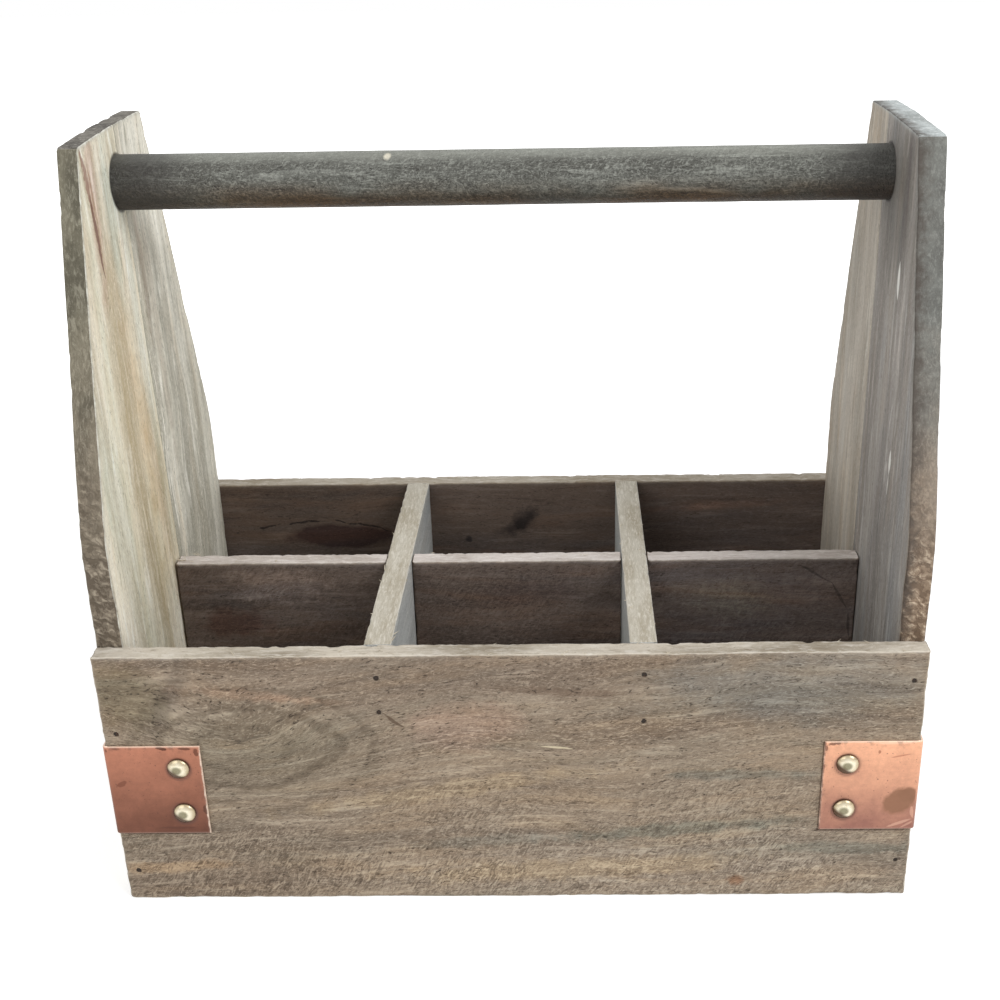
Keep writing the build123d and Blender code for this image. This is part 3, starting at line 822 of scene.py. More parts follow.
leftFrontWood = dict(
    leftWood, shift=(1.7, 0.2, 0.1), deep=rgb(184, 172, 147), middle=rgb(230, 222, 203), pale=rgb(246, 243, 232),
    warm=rgb(214, 196, 160), warmShare=0.4, cool=rgb(212, 211, 190), coolShare=0.6, gain=1.11, bands=0.8,
    streaks=0.75, crinkle=0.6, flecks=0.6,
    patches=[
        (0.18, -0.026, 0.075, 0.02, 0.5, 0.5, (204, 188, 152), 1.3, -3),
        (0.165, -0.012, 0.046, 0.008, 0.6, 0.45, (204, 180, 146), 1.3, -4),
        (0.215, -0.022, 0.044, 0.006, 0.7, 0.35, (214, 190, 154), 1.2, -3),
        (0.13, -0.03, 0.03, 0.01, 0.7, 0.4, (186, 172, 140), 1.2),
        (0.17, -0.066, 0.09, 0.012, 0.5, 0.55, (206, 206, 188), 1.0, -14),
        (0.24, -0.004, 0.075, 0.0045, 0.5, 0.4, (220, 222, 212)),
        (0.29, -0.034, 0.034, 0.005, 0.6, 0.6, (216, 190, 174), 0.7, 8),
        (0.283, -0.016, 0.03, 0.006, 0.6, 0.6, (192, 198, 184), 0.7, 4),
        socketPatch],
    scratchesAndShadowLines=[
        (0.3165, -0.0415, 0.288, -0.0372, 0.0026, 0.75, (132, 92, 78), 0.5, 0.004),
        (0.299, -0.0376, 0.26, -0.035, 0.0021, 0.85, (112, 78, 64), 0.4, 0.004),
        (0.0, 0.0041, 0.3165, 0.0041, 0.0008, 0.6, (128, 122, 108), 0.4, 0.0, 1),
        (0.312, -0.0365, 0.279, -0.0338, 0.0013, 0.6, (150, 112, 94), 0.6, 0.004)])
leftBackWood = dict(
    leftWood, shift=(2.4, 0.6, 0.4), deep=rgb(160, 155, 139), middle=rgb(220, 216, 202), pale=rgb(240, 237, 226),
    warm=rgb(206, 190, 162), warmShare=0.4, cool=rgb(196, 192, 176), coolShare=0.6, gain=1.15, crinkle=0.7,
    streaks=0.9, bands=0.9, sway=0.016,
    patches=[
        (0.215, 0.022, 0.06, 0.005, 0.7, 0.5, (176, 164, 146)),
        (0.255, 0.014, 0.03, 0.003, 0.7, 0.55, (166, 150, 134)),
        (0.16, 0.03, 0.06, 0.012, 0.6, 0.4, (178, 174, 160)),
        socketPatch])
rightWood = dict(
    plainWood, plane="zy", sideBase=rgb(118, 119, 114), sideChalk=rgb(150, 151, 145), sideShade=rgb(92, 91, 87),
    sideChalky=0.5, bark=0.95, barkCell=rgb(160, 138, 116), barkCrack=rgb(118, 98, 80), barkCrest=rgb(212, 192, 168),
    barkTop=0.195, barkFull=0.140, limed=1.0, limedBase=rgb(188, 195, 195), limedChalk=rgb(226, 230, 228),
    limedShade=rgb(138, 142, 140), limedChalky=0.6, rubbed=0.5, rubbedColor=rgb(80, 72, 66), rubShare=0.85,
    sideFine=(4.4, 0.8, 1.7), crinkle=0.5, flecks=0.45, bands=0.8, streaks=0.8, swayScale=7.0)
rightFrontWood = dict(
    rightWood, shift=(3.3, 0.9, 0.7), deep=rgb(128, 122, 116), middle=rgb(165, 159, 152), pale=rgb(192, 187, 180),
    warm=rgb(176, 160, 144), warmShare=0.35, cool=rgb(150, 152, 154), coolShare=0.5,
    patches=[
        # the first patch is a painted shadow of the rod on the board
        (0.284, -0.02, 0.03, 0.024, 0.25, 0.75, (108, 103, 95), 1.1),
        (0.29, -0.034, 0.026, 0.004, 0.6, 0.5, (140, 128, 122)),
        (0.215, -0.04, 0.06, 0.005, 0.6, 0.5, (196, 190, 184)),
        (0.15, -0.03, 0.06, 0.007, 0.6, 0.3, (142, 140, 140)),
        socketPatch],
    scratchesAndShadowLines=[
        (0.0, 0.0096, 0.3165, 0.0096, 0.0008, 0.5, (104, 99, 94), 0.4, 0.0, 1),
        (0.2649, -0.032, 0.2487, -0.033, 0.0022, 0.95, (236, 234, 228), 0.1, 0.002, 0, -0.2),
        (0.1885, -0.045, 0.177, -0.0445, 0.0021, 0.95, (232, 230, 224), 0.1, 0.002, 0, -0.2),
        (0.1776, -0.0445, 0.167, -0.044, 0.001, 0.8, (222, 220, 212), 0.4, 0.002, 0, -0.2)])
rightBackWood = dict(
    rightWood, shift=(4.1, 0.3, 0.9), deep=rgb(158, 147, 132), middle=rgb(192, 184, 172), pale=rgb(216, 210, 198),
    warm=rgb(206, 186, 160), warmShare=0.5, cool=rgb(174, 174, 168), coolShare=0.3, patches=[socketPatch])
leftWear = dict(
    endWear, rubWidth=3.2 * mm, rimRubWidth=0.7 * mm, thin=endBoard["leftThinner"], thinFrom=boxTop, thinTo=boardTop)
rightWear = dict(endWear, rubWidth=1.0 * mm, rimRubWidth=14.0 * mm, innerRub=True)
makePlank("left_end_front_plank", -1, -1, leftFrontWood, dict(leftWear, seed=21))
makePlank("left_end_back_plank", 1, -1, leftBackWood, dict(leftWear, seed=25))
makePlank("right_end_front_plank", -1, 1, rightFrontWood, dict(rightWear, seed=31))
makePlank("right_end_back_plank", 1, 1, rightBackWood, dict(rightWear, seed=37))
print("end boards made")

# floor and dividers
floorWood = dict(
    plainWood, shift=(5.2, 0.2, 0.4), plane="xy", deep=rgb(84, 72, 60), middle=rgb(110, 96, 80),
    pale=rgb(140, 126, 106), innerDark=0.8, innerTint=(0.4, 0.37, 0.36, 1))
dividerWood = dict(
    plainWood, plane="yz", limed=1.0, limedBase=rgb(194, 188, 174), limedChalk=rgb(228, 223, 212),
    limedShade=rgb(162, 152, 132), limedFine=(1.5, 2.2, 2.2), limedChalky=0.6, deep=rgb(150, 150, 148),
    middle=rgb(186, 188, 186), pale=rgb(210, 211, 208), warm=rgb(190, 180, 164), warmShare=0.25, coolShare=0.5,
    cool=rgb(178, 184, 188), rubbed=0.5, rubbedColor=rgb(222, 220, 212))
longWood = dict(
    plainWood, shift=(6.6, 0.5, 0.2), figured="otherFace", bands=0.7, crinkle=0.8, flecks=0.5, limed=1.0,
    limedBase=rgb(208, 199, 193), limedChalk=rgb(236, 231, 226), limedShade=rgb(168, 156, 146),
    limedFine=(1.5, 2.2, 2.2), innerDark=0.96, otherDark=0.96, rubbed=0.5, rubbedColor=rgb(212, 206, 198),
    ripples=0.4, rippleZone=(0.02, 0.05),
    patches=[
        (-0.133, 0.09, 0.014, 0.007, 0.7, 0.55, (122, 78, 58), 0.7, 0, 110.0),
        (-0.112, 0.109, 0.02, 0.008, 0.9, 0.6, (220, 218, 216), 0.7, 0, 160.0),
        (0.005, 0.104, 0.02, 0.006, 0.6, 0.4, (120, 100, 88)),
        # painted light: this patch lightens the right compartment, as the same patch on the back panel does
        (0.115, 0.09, 0.06, 0.05, 0.4, 0.9, (168, 150, 130), 1.0),
        (0.098, 0.1, 0.018, 0.009, 0.6, 0.5, (172, 156, 124), 1.2)],
    scratchesAndShadowLines=[
        (0.129, 0.119, 0.148, 0.107, 0.0008, 0.5, (0.03, 0.024, 0.022, 1), 0.3),
        (0.1465, 0.1085, 0.156, 0.092, 0.0008, 0.5, (0.03, 0.024, 0.022, 1), 0.3),
        (0.1555, 0.094, 0.157, 0.078, 0.0008, 0.5, (0.03, 0.024, 0.022, 1), 0.3)])
dividerWear = dict(plainWear, arris=0.6 * mm, chip=0.9 * mm, chipScale=260, wave=0.3 * mm, waveScale=26, step=1.5 * mm,
                   boxed=True, bothInside=True)


def makeLongDivider():
    # three stretches between the dividers that run through on top
    low, high = placed("long_divider")
    gap, top = 0.3 * mm, high.z - 1.2 * mm  # it sits a hair lower than the dividers that cross it
    ends = [low.x + 0.9 * mm]
    for node in ("left_divider", "right_divider"):
        near, far = placed(node)
        ends += [near.x - gap, far.x + gap]
    ends.append(high.x - 0.4 * mm)
    material = woodMaterial("long_divider_wood", longWood)
    for k in range(3):
        sides = rectangle(ends[2 * k], low.z, ends[2 * k + 1], top, 0.5 * mm)
        wear = dict(dividerWear, waveScale=24, seed=51 + k)
        piece = slab(f"worn_long_divider_{k + 1}", sides, low.y, high.y, "xzy", wear, material)
        finishPiece(piece, "long_divider")


makeBoard("floor_board", "xyz", 0.6 * mm, dict(plainWear, seed=41, step=4 * mm, bark=0.0, wave=0.0),
          woodMaterial("floor_wood", floorWood))
for node, seed in (("left_divider", 43), ("right_divider", 47)):
    wood = dict(dividerWood, shift=(seed * 0.37, 0.3, 0.8))
    makeBoard(node, "yzx", 0.5 * mm, dict(dividerWear, seed=seed), woodMaterial(node + "_wood", wood))
makeLongDivider()
print("floor and dividers made")

# rod handle
# rim is the colour of the painted sheen along the top of the rod
rodWood = {
    "deep": rgb(62, 59, 53), "middle": rgb(95, 96, 90), "pale": rgb(156, 158, 150), "brown": rgb(98, 76, 50),
    "rim": rgb(178, 180, 170), "ends": rgb(50, 47, 45), "fleck": (-0.0480, -0.0060)
}


def rodMaterial():
    material, place = newMaterial("handle_rod_wood"), objectPlace()
    flow = use(grainFlow, Vector=place, Sway=0.006, Sway_Scale=14.0)[0]
    color, height, rough = use(
        weatheredGrain, Flow=flow, Deep=rodWood["deep"], Middle=rodWood["middle"], Pale=rodWood["pale"], Bands=0.5,
        Streaks=0.65, Crinkle=0.9, Fibres=0.8, Flecks=0.45, Ripples=0.5, Fineness=1.25)
    along, depth, up = split(place)
    under = ramp(up, rodAxis.z + 3 * mm, rodAxis.z - 0.8 * rodRadius)
    brown = under * ramp(cloud(place, (14, 40, 40), 3.0, 0.55, 2.0), 0.35, 0.6)
    color = tinted(brown * 0.9, color, tintOf(rodWood["brown"], rodWood["middle"]))
    # painted shade: the underside of the rod is darkened
    color = tinted(under * 0.8, color, (0.42, 0.39, 0.35, 1))
    # painted highlight: a paler sheen along the top of the rod
    upper = ramp(up, rodAxis.z + 0.62 * rodRadius, rodAxis.z + 0.96 * rodRadius)
    ends = ramp(calc("ABSOLUTE", along), rightInner - 42 * mm, rightInner - 8 * mm)
    fleck = use(raggedPatch, Vector=place, Place=(*rodWood["fleck"], rodAxis.z + rodRadius),
                Size=(0.0016, 0.003, 0.003), Ragged=0.3, Ragged_Scale=400.0, Soft=0.4)[0]
    color = coated(color, (upper * 0.4, rodWood["rim"]), (ends * 0.72, rodWood["ends"]), (fleck, rgb(220, 214, 196)))
    return closeMaterial(material, {"Base Color": color, "Roughness": rough - 0.24, "Specular IOR Level": 0.35},
                         (1.0, 0.0009, height))


def makeRod():
    # hand-turned rod: never quite round, worn a little thinner in places
    low, high = placed("handle_rod")
    rings, around, verts = 150, 72, []
    for i in range(rings):
        x = low.x + (high.x - low.x) * i / (rings - 1)
        for k in range(around):
            angle = 2 * math.pi * k / around
            y, z = math.cos(angle), math.sin(angle)
            facet = noise.noise(Vector((x * 6, y * 1.6, z * 1.6 + 9))) * 0.22 * mm
            tool = noise.fractal(Vector((x * 60, y * 5, z * 5)), 1.0, 2.0, 3) * 0.07 * mm
            reach = min(rodRadius - 0.12 * mm + facet * 0.6 + tool, rodRadius)
            verts.append((x, y * reach, rodAxis.z + z * reach))
    faces = gridFaces(rings, around, closed=True) + [range(around), range((rings - 1) * around, rings * around)]
    finishPiece(meshPiece("turned_handle_rod", verts, faces, rodMaterial()), "handle_rod")


makeRod()
print("rod made")

# corner straps and their domed nails; chips are place across and up, half sizes, turn, colour and strength
nailShape = {"radius": 4.7 * mm, "rise": 2.5 * mm, "rim": 0.4 * mm, "around": 40, "rings": 16}
# the last value is the radius of the painted shadow ring round each nail
strapShape = {
    "thick": 1.0 * mm, "leg": 40 * mm, "bend": 2.0 * mm, "step": 0.8 * mm, "dent": 0.12 * mm, "grimeAndNailShade": 4.9 * mm
}
darkChip, brownChip, wornChip, paleScuff = (88, 50, 36), (120, 80, 62), (142, 103, 80), (236, 190, 166)
chipsLeft = [
    (-0.1702, 0.0778, 0.0014, 0.0011, -20, darkChip, 0.7), (-0.1650, 0.0784, 0.0018, 0.0005, 0, darkChip, 0.4),
    (-0.1462, 0.0786, 0.0022, 0.0008, -12, darkChip, 0.9), (-0.1366, 0.0784, 0.0028, 0.0007, -4, darkChip, 0.75),
    (-0.1318, 0.0766, 0.0010, 0.0020, 10, darkChip, 0.7), (-0.1650, 0.0610, 0.0024, 0.0012, 30, (110, 64, 48), 0.6),
    (-0.1305, 0.0480, 0.0016, 0.0022, 0, (84, 54, 42), 0.7), (-0.1440, 0.0385, 0.0080, 0.0006, 0, (84, 52, 42), 0.4),
]
chipsRight = [
    (0.1632, 0.0500, 0.0078, 0.0056, 38, wornChip, 0.9), (0.1664, 0.0530, 0.0041, 0.0036, 20, wornChip, 0.9),
    (0.1332, 0.0785, 0.0016, 0.0007, 0, darkChip, 0.7), (0.1308, 0.0766, 0.0007, 0.0014, 0, darkChip, 0.7),
    (0.1356, 0.0787, 0.0010, 0.0005, 0, darkChip, 0.6), (0.1600, 0.0788, 0.0080, 0.0006, 2, (250, 204, 176), 0.5),
    (0.1530, 0.0745, 0.0007, 0.0009, 0, (150, 96, 72), 0.7), (0.1620, 0.0725, 0.0040, 0.0004, 12, (170, 112, 86), 0.6),
    (0.1640, 0.0388, 0.0052, 0.0007, 22, paleScuff, 0.35), (0.1690, 0.0440, 0.0008, 0.0030, 12, paleScuff, 0.35),
    (0.1672, 0.0380, 0.0026, 0.0005, 34, paleScuff, 0.3),
]
chipsBack = [
    (0.1560, 0.0640, 0.0030, 0.0020, 20, brownChip, 0.7), (-0.1500, 0.0520, 0.0026, 0.0018, 0, brownChip, 0.7),
    (0.1400, 0.0772, 0.0030, 0.0006, 0, darkChip, 0.8), (-0.1440, 0.0770, 0.0024, 0.0006, 0, darkChip, 0.8),
    (-0.1640, 0.0768, 0.0018, 0.0006, 0, darkChip, 0.7),
]
# top and low: copper at the top and at the foot of each strap; the fade between them, and the darker front left strap,
# are painted reflection
strapColoursAndLight = {
    # free: colour of each strap's free edge, a painted highlight on the left straps and painted shade on the right ones
    "front_left_strap": {"top": (174, 116, 92), "low": (100, 61, 46), "seed": 1.0, "rough": 0.42,
                         "free": (226, 206, 188), "chips": chipsLeft},
    "front_right_strap": {"top": (230, 172, 138), "low": (144, 99, 86), "seed": 2.0, "rough": 0.38,
                          "free": (112, 76, 62), "chips": chipsRight},
    "back_left_strap": {"top": (222, 164, 132), "low": (160, 110, 90), "seed": 3.0, "rough": 0.4,
                        "free": (236, 214, 196), "chips": chipsBack},
    "back_right_strap": {"top": (212, 152, 122), "low": (150, 102, 84), "seed": 4.0, "rough": 0.4,
                         "free": (150, 106, 86), "chips": chipsBack},
}


def strapMaterial(node, tint):
    low, high = placed(node)
    material, place = newMaterial(node + "_copper"), objectPlace()
    # copper darkening towards the foot of the strap: painted reflection
    color, height, rough = use(agedCopperAndReflection, Vector=place, Top=rgb(*tint["top"]), Low=rgb(*tint["low"]),
                               Low_Height=low.z, Top_Height=high.z, Seed=tint["seed"])
    along, depth, up = split(place)
    flat, marred = join(along, up), 0.0
    for x, y, wide, tall, turn, tone, strength in tint["chips"]:
        ragged = 0.45 if wide < 4 * mm else 0.16
        mask = patchMask(flat, x, y, wide, tall, ragged, 0.3, turn, 380.0)[0] * mark("longSide") * strength
        color = blendColor(mask, color, rgb(*tone))
        marred = calc("MAXIMUM", marred, mask)
    # dark grime specks along the top edge
    grimeAndNailShade = ramp(cloud(place, (330, 330, 330), 3.0, 0.6, tint["seed"]), 0.52, 0.64) * mark("topEdge")
    cut = mark("freeEdge") + (cloud(place, (500, 500, 260), 3.0, 0.6, 5.0) - 0.5) * 1.6
    # coats: a painted shadow ring round each nail, the grime specks, a painted highlight along every rim, and the free
    # edge's colour, painted light on some straps and painted shade on others
    color = coated(color, (mark("nailShadeRing") * 0.75, (0.10, 0.05, 0.04, 1)), (grimeAndNailShade * 0.6, (0.06, 0.035, 0.03, 1)),
                   (mark("edge") * 0.8, rgb(250, 226, 206)), (ramp(cut, 0.70, 1.15) * 0.8, rgb(*tint["free"])))
    rough = rough + (tint["rough"] - 0.1) + marred * 0.25
    return closeMaterial(material, {"Base Color": color, "Roughness": rough, "Metallic": 0.6}, (0.18, 0.0003, height))


def skirtFaces(border, lift):
    # quads from a closed row of points to the same row further on in the list
    return [(a, b, b + lift, a + lift) for a, b in zip(border, [*border[1:], border[0]])]


def makeStrap(node, side, row):
    # sheet bent round the corner: one path out, back along the inside, rounded at its rims
    low, high = placed(node)
    outX, outY = high.x if side > 0 else -low.x, high.y if row > 0 else -low.y
    thick, leg, step = strapShape["thick"], strapShape["leg"], strapShape["step"]
    path = roundedPath([(outX - thick - leg, outY), (outX, outY), (outX, outY - thick - leg)],
                       [0, strapShape["bend"], 0], 8)
    reach = pathLength(path)
    corner = np.linspace(0.5 - 4 * mm / reach, 0.5 + 4 * mm / reach, 14)
    shares = np.unique(np.round(np.concatenate([spanShares(reach, step), corner]), 5))
    line = alongPath(path, shares)
    normal = pathNormals(line)
    if np.linalg.norm(line[0] + normal[0] * mm) < np.linalg.norm(line[0]):
        normal = -normal
    heights = low.z + spanShares(high.z - low.z, step) * (high.z - low.z)
    (nailLow, nailHigh), dome = placed(node + "_nails"), nailShape["radius"]
    nailX = nailHigh.x - dome if side < 0 else -(nailLow.x + dome)
    nailY = nailHigh.y - dome if row < 0 else -(nailLow.y + dome)
    nailSpots = [(a, b, z) for a, b in ((-nailX, outY), (outX, -nailY)) for z in (nailLow.z + dome, nailHigh.z - dome)]
    verts, marks, roll = [], [], 0.35 * mm
    for inside in (False, True):
        for z in heights:
            for share, (x, y), way in zip(shares, line, normal):
                inset = min(share, 1 - share) * reach
                rim = min(inset, z - low.z, high.z - z)
                soft = roll - math.sqrt(max(roll ** 2 - max(roll - rim, 0) ** 2, 0))
                dent = noise.noise(Vector((x * 40, y * 40 + row * 3, z * 45 + side)))
                dent = strapShape["dent"] * (0.5 + 0.5 * dent)
                spot = (x, y) - way * (thick - soft * 0.5 if inside else soft + dent)
                verts.append((side * spot[0], row * spot[1], z))
                away = min(math.dist((x, y, z + 0.5 * mm), nail) for nail in nailSpots)
                # marks: the painted highlight along the rims (the inside takes it too), nearness to the top edge, the
                # painted shadow ring round the nails, the free edge, and the leg that lies along the panel
                marks.append((
                    1.0 if inside else math.exp(-rim / (0.22 * mm)),
                    math.exp(-min(high.z - z, inset * 1.6) / (1.8 * mm)),
                    math.exp(-((away - strapShape["grimeAndNailShade"]) / (0.7 * mm)) ** 2),
                    0.0 if inside else math.exp(-(share * reach / (0.9 * mm)) ** 4),
                    float(share < 0.49 and not inside)))
    faces, grid = [], len(heights) * len(line)
    for a, b, c, d in gridFaces(len(heights), len(line)):
        faces += [(a, b, c, d), (a + grid, d + grid, c + grid, b + grid)]
    faces += skirtFaces(gridBorder(len(heights), len(line)).tolist(), grid)
    marks = dict(zip(("edge", "topEdge", "nailShadeRing", "freeEdge", "longSide"), zip(*marks)))
    piece = meshPiece("bent_" + node, verts, faces, strapMaterial(node, strapColoursAndLight[node]), marks)
    finishPiece(piece, node)


def nailMaterial():
    material, place = newMaterial("domed_nail_brass"), objectPlace()
    tarnish, skirt = cloud(place, (500, 500, 500), 4.0, 0.6), mark("skirt")
    # cream brass, tarnished in places and darker towards the rim, with painted shade on the lower left of the dome and
    # a painted dark reflection across its middle
    color = coated(
        rgb(240, 232, 208), (ramp(tarnish, 0.45, 0.7, 0.0, 0.5), rgb(206, 190, 150)),
        (ramp(skirt, 0.25, 0.75) * 0.7, rgb(150, 128, 88)), (ramp(skirt, 0.75, 1.0) * 0.85, rgb(72, 52, 36)),
        (ramp(mark("paintedDomeReflection"), 1.25, 0.60) * 0.82, rgb(104, 98, 66)),
        (ramp(mark("paintedDomeShade"), 0.10, 0.50) * 0.97, rgb(72, 46, 20)))
    return closeMaterial(material, {"Base Color": color, "Roughness": 0.16 + tarnish * 0.2, "Metallic": 0.6},
                         (0.25, 0.0004, cloud(place, (360, 360, 360), 2.0, 0.5, 3.0)))


brass = nailMaterial()


def makeNails(node, side, row):
    # domes only: their shanks stay out of sight in the wood
    low, high = placed(node)
    strapLow, strapHigh = placed(node.replace("_nails", ""))
    reach, rise, rim, around, rings = (nailShape[key] for key in ("radius", "rise", "rim", "around", "rings"))
    faceX, nailX = (strapHigh.x, low.x + reach) if side > 0 else (strapLow.x, high.x - reach)
    faceY, nailY = (strapHigh.y, low.y + reach) if row > 0 else (strapLow.y, high.y - reach)
    turns = [(math.cos(angle), math.sin(angle)) for angle in (2 * math.pi * k / around for k in range(around))]
    verts, faces, marks = [], [], []
    random.seed(int(50 + 10 * side + row))
    for z in (low.z + reach, high.z - reach):
        for centre, normal in ((Vector((nailX, faceY, z)), Vector((0, row, 0))),
                               (Vector((faceX, nailY, z)), Vector((side, 0, 0)))):
            sideways = Vector((-normal.y, normal.x, 0))
            lean = Vector((random.uniform(-0.04, 0.04), random.uniform(-0.04, 0.04)))
            first = len(verts)
            for j in range(rings + 1):
                share = j / rings
                radius = reach * math.cos(share * math.pi / 2)
                lift = rim + (rise - rim) * math.sin(share * math.pi / 2) ** 1.15
                for across, up in turns:
                    wobble = 1 + 0.02 * noise.noise(Vector((across, up, z * 50 + side)))
                    a, b = radius * wobble * across, radius * wobble * up
                    tilt = (a * lean.x + b * lean.y) * (1 - share)
                    spot = centre + sideways * a + Vector((0, 0, b))
                    verts.append(spot + normal * min(max(lift + tilt - 0.1 * mm, 0.1 * mm), rise))
                    # marks: nearness to the rim, the painted shade on the lower left, and the reach of the painted
                    # reflection
                    marks.append((1 - share, max(0, (-0.55 * a - 0.82 * b) / reach),
                                  math.hypot((a / reach + 0.08) / 0.48, (b / reach - 0.04) / 0.42)))
            foot = range(len(verts), len(verts) + around)
            for across, up in turns:
                spot = centre + sideways * reach * 0.97 * across + Vector((0, 0, reach * 0.97 * up))
                verts.append(spot - normal * 0.15 * mm)
                marks.append((1.0, 1.0, 2.0))
            faces += gridFaces(rings + 1, around, True, first) + skirtFaces(foot, first - foot[0]) + [foot]
    piece = meshPiece("domed_" + node, verts, faces, brass,
                      dict(zip(("skirt", "paintedDomeShade", "paintedDomeReflection"), zip(*marks))))
    finishPiece(piece, node)


for rowName, row in (("front", -1), ("back", 1)):
    for sideName, side in (("left", -1), ("right", 1)):
        makeStrap(f"{rowName}_{sideName}_strap", side, row)
        makeNails(f"{rowName}_{sideName}_strap_nails", side, row)
print("straps and nails made")

# handle screws and brads
screwHead = {"radius": 3.95 * mm, "recess": 2.5 * mm, "slot": 0.85 * mm, "depth": 1.0 * mm, "cells": 56}


def darkSteel(name, tone, rough):
    material, place = newMaterial(name), objectPlace()
    rust = cloud(place, (900, 900, 900), 4.0, 0.6)
    # rust specks, and painted shade darkening the cross recess
    color = coated(tone, (ramp(rust, 0.5, 0.72, 0.0, 0.7), rgb(92, 62, 44)),
                   (ramp(mark("recess"), 0.15, 0.6), rgb(30, 26, 24)))
    return closeMaterial(material, {"Base Color": color, "Roughness": rough + rust * 0.25, "Metallic": 0.85},
                         (0.3, 0.0002, rust))


def makeScrew(node, side):
    # countersunk head with a cross recess, set a hair under the wood
    low, high = placed(node)
    face = high.x if side > 0 else low.x
    cells, reach, verts, hollows = screwHead["cells"], screwHead["radius"], [], []
    for j in range(cells + 1):
        for i in range(cells + 1):
            u, v = 2 * i / cells - 1, 2 * j / cells - 1
            a, b = u * math.sqrt(1 - v * v / 2) * reach, v * math.sqrt(1 - u * u / 2) * reach
            radial, cross = math.hypot(a, b), min(abs(a), abs(b))
            inCross = max(0, 1 - cross / screwHead["slot"]) ** 0.4 * max(0, 1 - radial / screwHead["recess"]) ** 0.5
            sunk = 0.05 * mm + screwHead["depth"] * inCross + 0.25 * mm * max(0, radial / reach - 0.9) * 10
            verts.append((face - side * sunk, a, rodAxis.z + b))
            # how deep in the cross each point is, for the painted shade in the recess
            hollows.append(inCross)
    faces, count = gridFaces(cells + 1, cells + 1), len(verts)
    verts += [(face - side * 3 * mm, v[1] * 0.5, rodAxis.z + (v[2] - rodAxis.z) * 0.5) for v in verts]
    faces += [tuple(k + count for k in reversed(f)) for f in faces]
    faces += skirtFaces(gridBorder(cells + 1, cells + 1).tolist(), count)
    piece = meshPiece("cross_" + node, verts, faces, screwSteel, {"recess": hollows + [0] * count})
    finishPiece(piece, node)


screwSteel = darkSteel("screw_steel", rgb(150, 146, 138), 0.3)
bradSteel = darkSteel("brad_steel", rgb(58, 52, 48), 0.45)
makeScrew("left_handle_screw", -1)
makeScrew("right_handle_screw", 1)
for node in ("front_brads", "back_brads", "left_end_brads", "right_end_brads", "floor_brads"):
    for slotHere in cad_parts[node].material_slots:
        slotHere.material = bradSteel
print("screws and brads made")

# splinters along the sawn edges; a tuft has its node, share along its top, share across it and number of fibres
splinterSet = {"count": 46, "steps": 5, "length": (1.2 * mm, 4.2 * mm), "thick": 0.16 * mm, "seed": 12}
tufts = [
    ("front_panel", 0.557, 0.04, 3), ("front_panel", 0.688, 0.04, 2), ("front_panel", 0.772, 0.2, 2),
    ("front_panel", 0.30, 0.5, 2), ("long_divider", 0.012, 0.3, 6), ("long_divider", 0.03, 0.9, 3),
    ("long_divider", 0.60, 0.5, 2), ("right_divider", 0.80, 0.96, 2), ("right_divider", 0.68, 0.96, 2),
    ("right_divider", 0.22, 0.04, 2), ("left_divider", 0.35, 0.96, 2)
]


def topLine(node, y=None, x=None, trim=0.0):
    # a line along the top of a piece, lengthwise at y or front to back at x
    low, high = placed(node)
    if x is None:
        return Vector((low.x + trim, y, high.z)), Vector((high.x - trim, y, high.z))
    return Vector((x, low.y, high.z)), Vector((x, high.y, high.z))


def splinterRoots():
    # two points of a line and a share along it for each splinter
    lines = []
    for node in ("front_panel", "back_panel", "long_divider"):
        low, high = placed(node)
        lines += [topLine(node, y=y, trim=6 * mm) for y in (low.y + 0.7 * mm, high.y - 0.7 * mm)]
    for node in ("left_divider", "right_divider"):
        low, high = placed(node)
        lines += [topLine(node, x=x) for x in (low.x + 0.5 * mm, high.x - 0.5 * mm) for twice in range(2)]
    roots = [(*lines[k % len(lines)], random.random()) for k in range(splinterSet["count"])]
    for node, along, across, count in tufts:
        low, high = placed(node)
        if high.x - low.x > high.y - low.y:
            line = topLine(node, y=low.y + across * (high.y - low.y))
        else:
            line = topLine(node, x=low.x + across * (high.x - low.x))
        roots += [(*line, along + random.uniform(-0.006, 0.006)) for k in range(count)]
    return roots


def makeSplinters():
    random.seed(splinterSet["seed"])
    verts, faces, steps = [], [], splinterSet["steps"]
    for start, end, place in splinterRoots():
        root = start.lerp(end, place) - Vector((0, 0, 0.9 * mm))
        along = (end - start).normalized() * random.choice((-1, 1))
        sidewise = Vector((along.y, -along.x, 0)) * random.uniform(-0.7, 0.7)
        tipWay = (along * random.uniform(0.4, 1.0) + sidewise + Vector((0, 0, random.uniform(0.1, 0.7)))).normalized()
        length = random.uniform(*splinterSet["length"])
        bendWay = Vector((random.uniform(-1, 1), random.uniform(-1, 1), random.uniform(-0.6, 0.4))) * 0.25
        first = len(verts)
        last = first + 4 * steps
        for share in (j / steps for j in range(steps + 1)):
            centre = root + tipWay * length * share + bendWay * length * share * share
            thick = splinterSet["thick"] * (1 - share) ** 0.7 + 0.01 * mm
            sideA = tipWay.orthogonal().normalized() * thick
            sideB = tipWay.cross(sideA).normalized() * thick * 1.8
            verts += [centre + sideA, centre + sideB, centre - sideA, centre - sideB]
        faces += gridFaces(steps + 1, 4, True, first) + [range(first, first + 4), range(last, last + 4)]
    material = newMaterial("splinter_wood")
    tone = blendColor(cloud(objectPlace(), (300, 300, 300)), rgb(222, 214, 196), rgb(190, 176, 150))
    piece = meshPiece("edge_splinters", verts, faces, closeMaterial(material, {"Base Color": tone, "Roughness": 0.7}))
    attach(piece, "root")


makeSplinters()
print("splinters made")

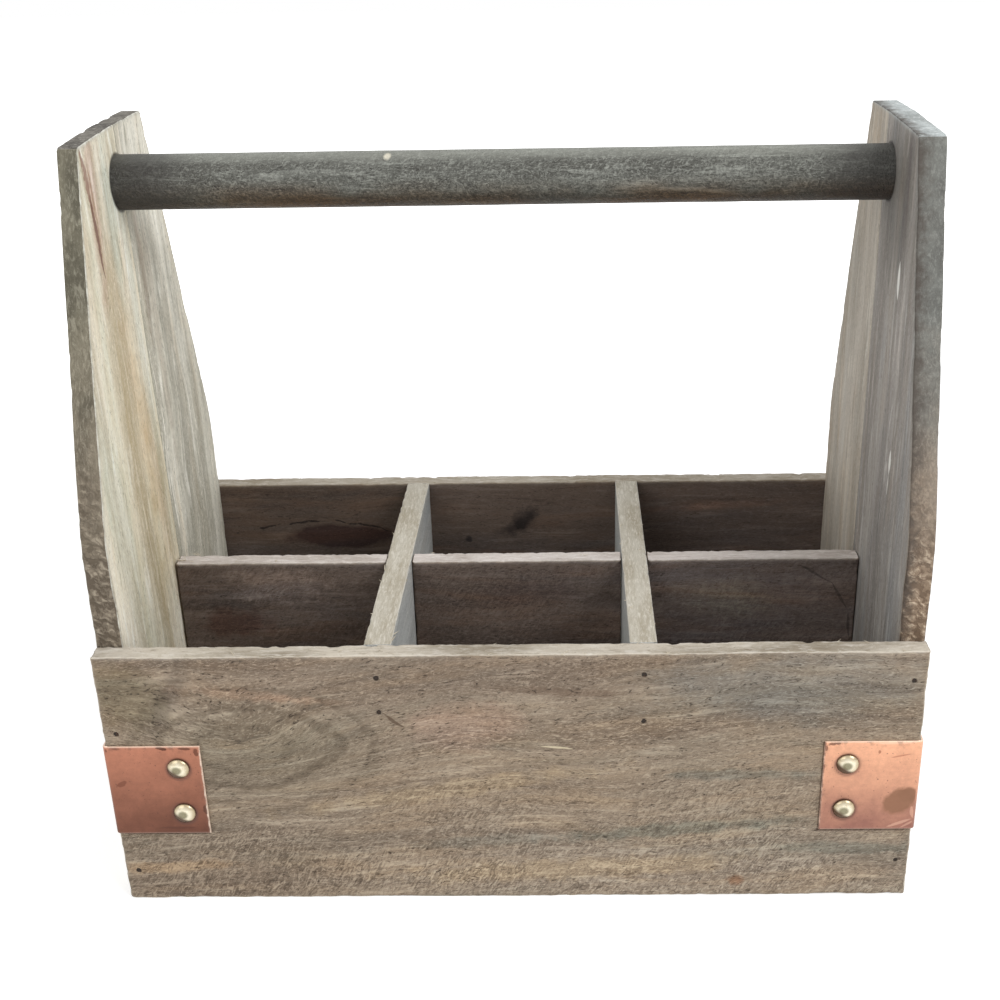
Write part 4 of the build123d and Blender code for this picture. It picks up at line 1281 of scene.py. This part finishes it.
# floor, light and camera
stageSet = {"floorSize": 12.0, "floorTone": 0.86, "floorLift": 0.42, "worldLight": 0.62}
lamps = {
    "key": {"at": (1.5, -1.05, 1.7), "size": 1.4, "power": 31.0},
    "fill": {"at": (-1.2, -1.5, 1.6), "size": 1.8, "power": 15.0}
}
view = {
    "at": (25.6 * mm, -577.2 * mm, 394.0 * mm), "turn": 1.075, "tilt": 23.987, "roll": -1.012, "lens": 49.18,
    "shift": (-0.0469, 0.0221)
}


def seenDirectly():
    # 1 for rays from the camera, in reflections and through glass
    rays = put("LightPath")
    return calc("MAXIMUM", calc("MAXIMUM", rays[0], rays[3]), rays[6])


def makeFloorPlane():
    bpy.ops.mesh.primitive_plane_add(size=stageSet["floorSize"], location=(0, 0, 0))
    plane = bpy.context.object
    plane.name = "studio_floor"
    material, tone = newMaterial("studio_floor"), stageSet["floorTone"]
    lift = ramp(vec("LENGTH", objectPlace()), 0.45, 1.3, stageSet["floorLift"], 1.0)
    plane.data.materials.append(closeMaterial(material, {
        "Base Color": (tone, tone, tone, 1), "Roughness": 0.9, "Specular IOR Level": 0.0,
        "Emission Color": (1, 1, 1, 1), "Emission Strength": seenDirectly() * lift}))


def makeWorld():
    world = bpy.context.scene.world = bpy.data.worlds.new("studio")
    world.use_nodes = True
    bench["tree"] = world.node_tree
    world.node_tree.nodes.clear()
    light = put("Background", {"Color": (1, 1, 1, 1), "Strength": stageSet["worldLight"]})[0]
    white = put("Background", {"Color": (1, 1, 1, 1), "Strength": 1.0})[0]
    put("OutputWorld", {0: put("MixShader", {0: seenDirectly(), 1: light, 2: white})[0]})


def makeLamps():
    for name, lamp in lamps.items():
        light = bpy.data.lights.new(name, "AREA")
        light.shape = "DISK"
        light.size = lamp["size"]
        light.energy = lamp["power"]
        holder = bpy.data.objects.new(name, light)
        holder.location = lamp["at"]
        aim = Vector((0, 0, 0.15)) - Vector(lamp["at"])
        holder.rotation_euler = aim.to_track_quat("-Z", "Y").to_euler()
        bpy.context.scene.collection.objects.link(holder)


def makeCamera():
    camera = bpy.data.cameras.new("camera")
    camera.sensor_width = 36
    camera.lens = view["lens"]
    camera.shift_x, camera.shift_y = view["shift"]
    camera.clip_start, camera.clip_end = 0.01, 50
    holder = bpy.data.objects.new("camera", camera)
    turn, tilt, roll = (Matrix.Rotation(math.radians(angle), 4, axis) for angle, axis in (
        (view["turn"], "Z"), (90 - view["tilt"], "X"), (view["roll"], "Z")))
    holder.matrix_world = Matrix.Translation(view["at"]) @ turn @ tilt @ roll
    bpy.context.scene.collection.objects.link(holder)
    bpy.context.scene.camera = holder


makeFloorPlane()
makeWorld()
makeLamps()
makeCamera()
bpy.context.scene.view_settings.view_transform = "Standard"
print("stage, light and camera set")
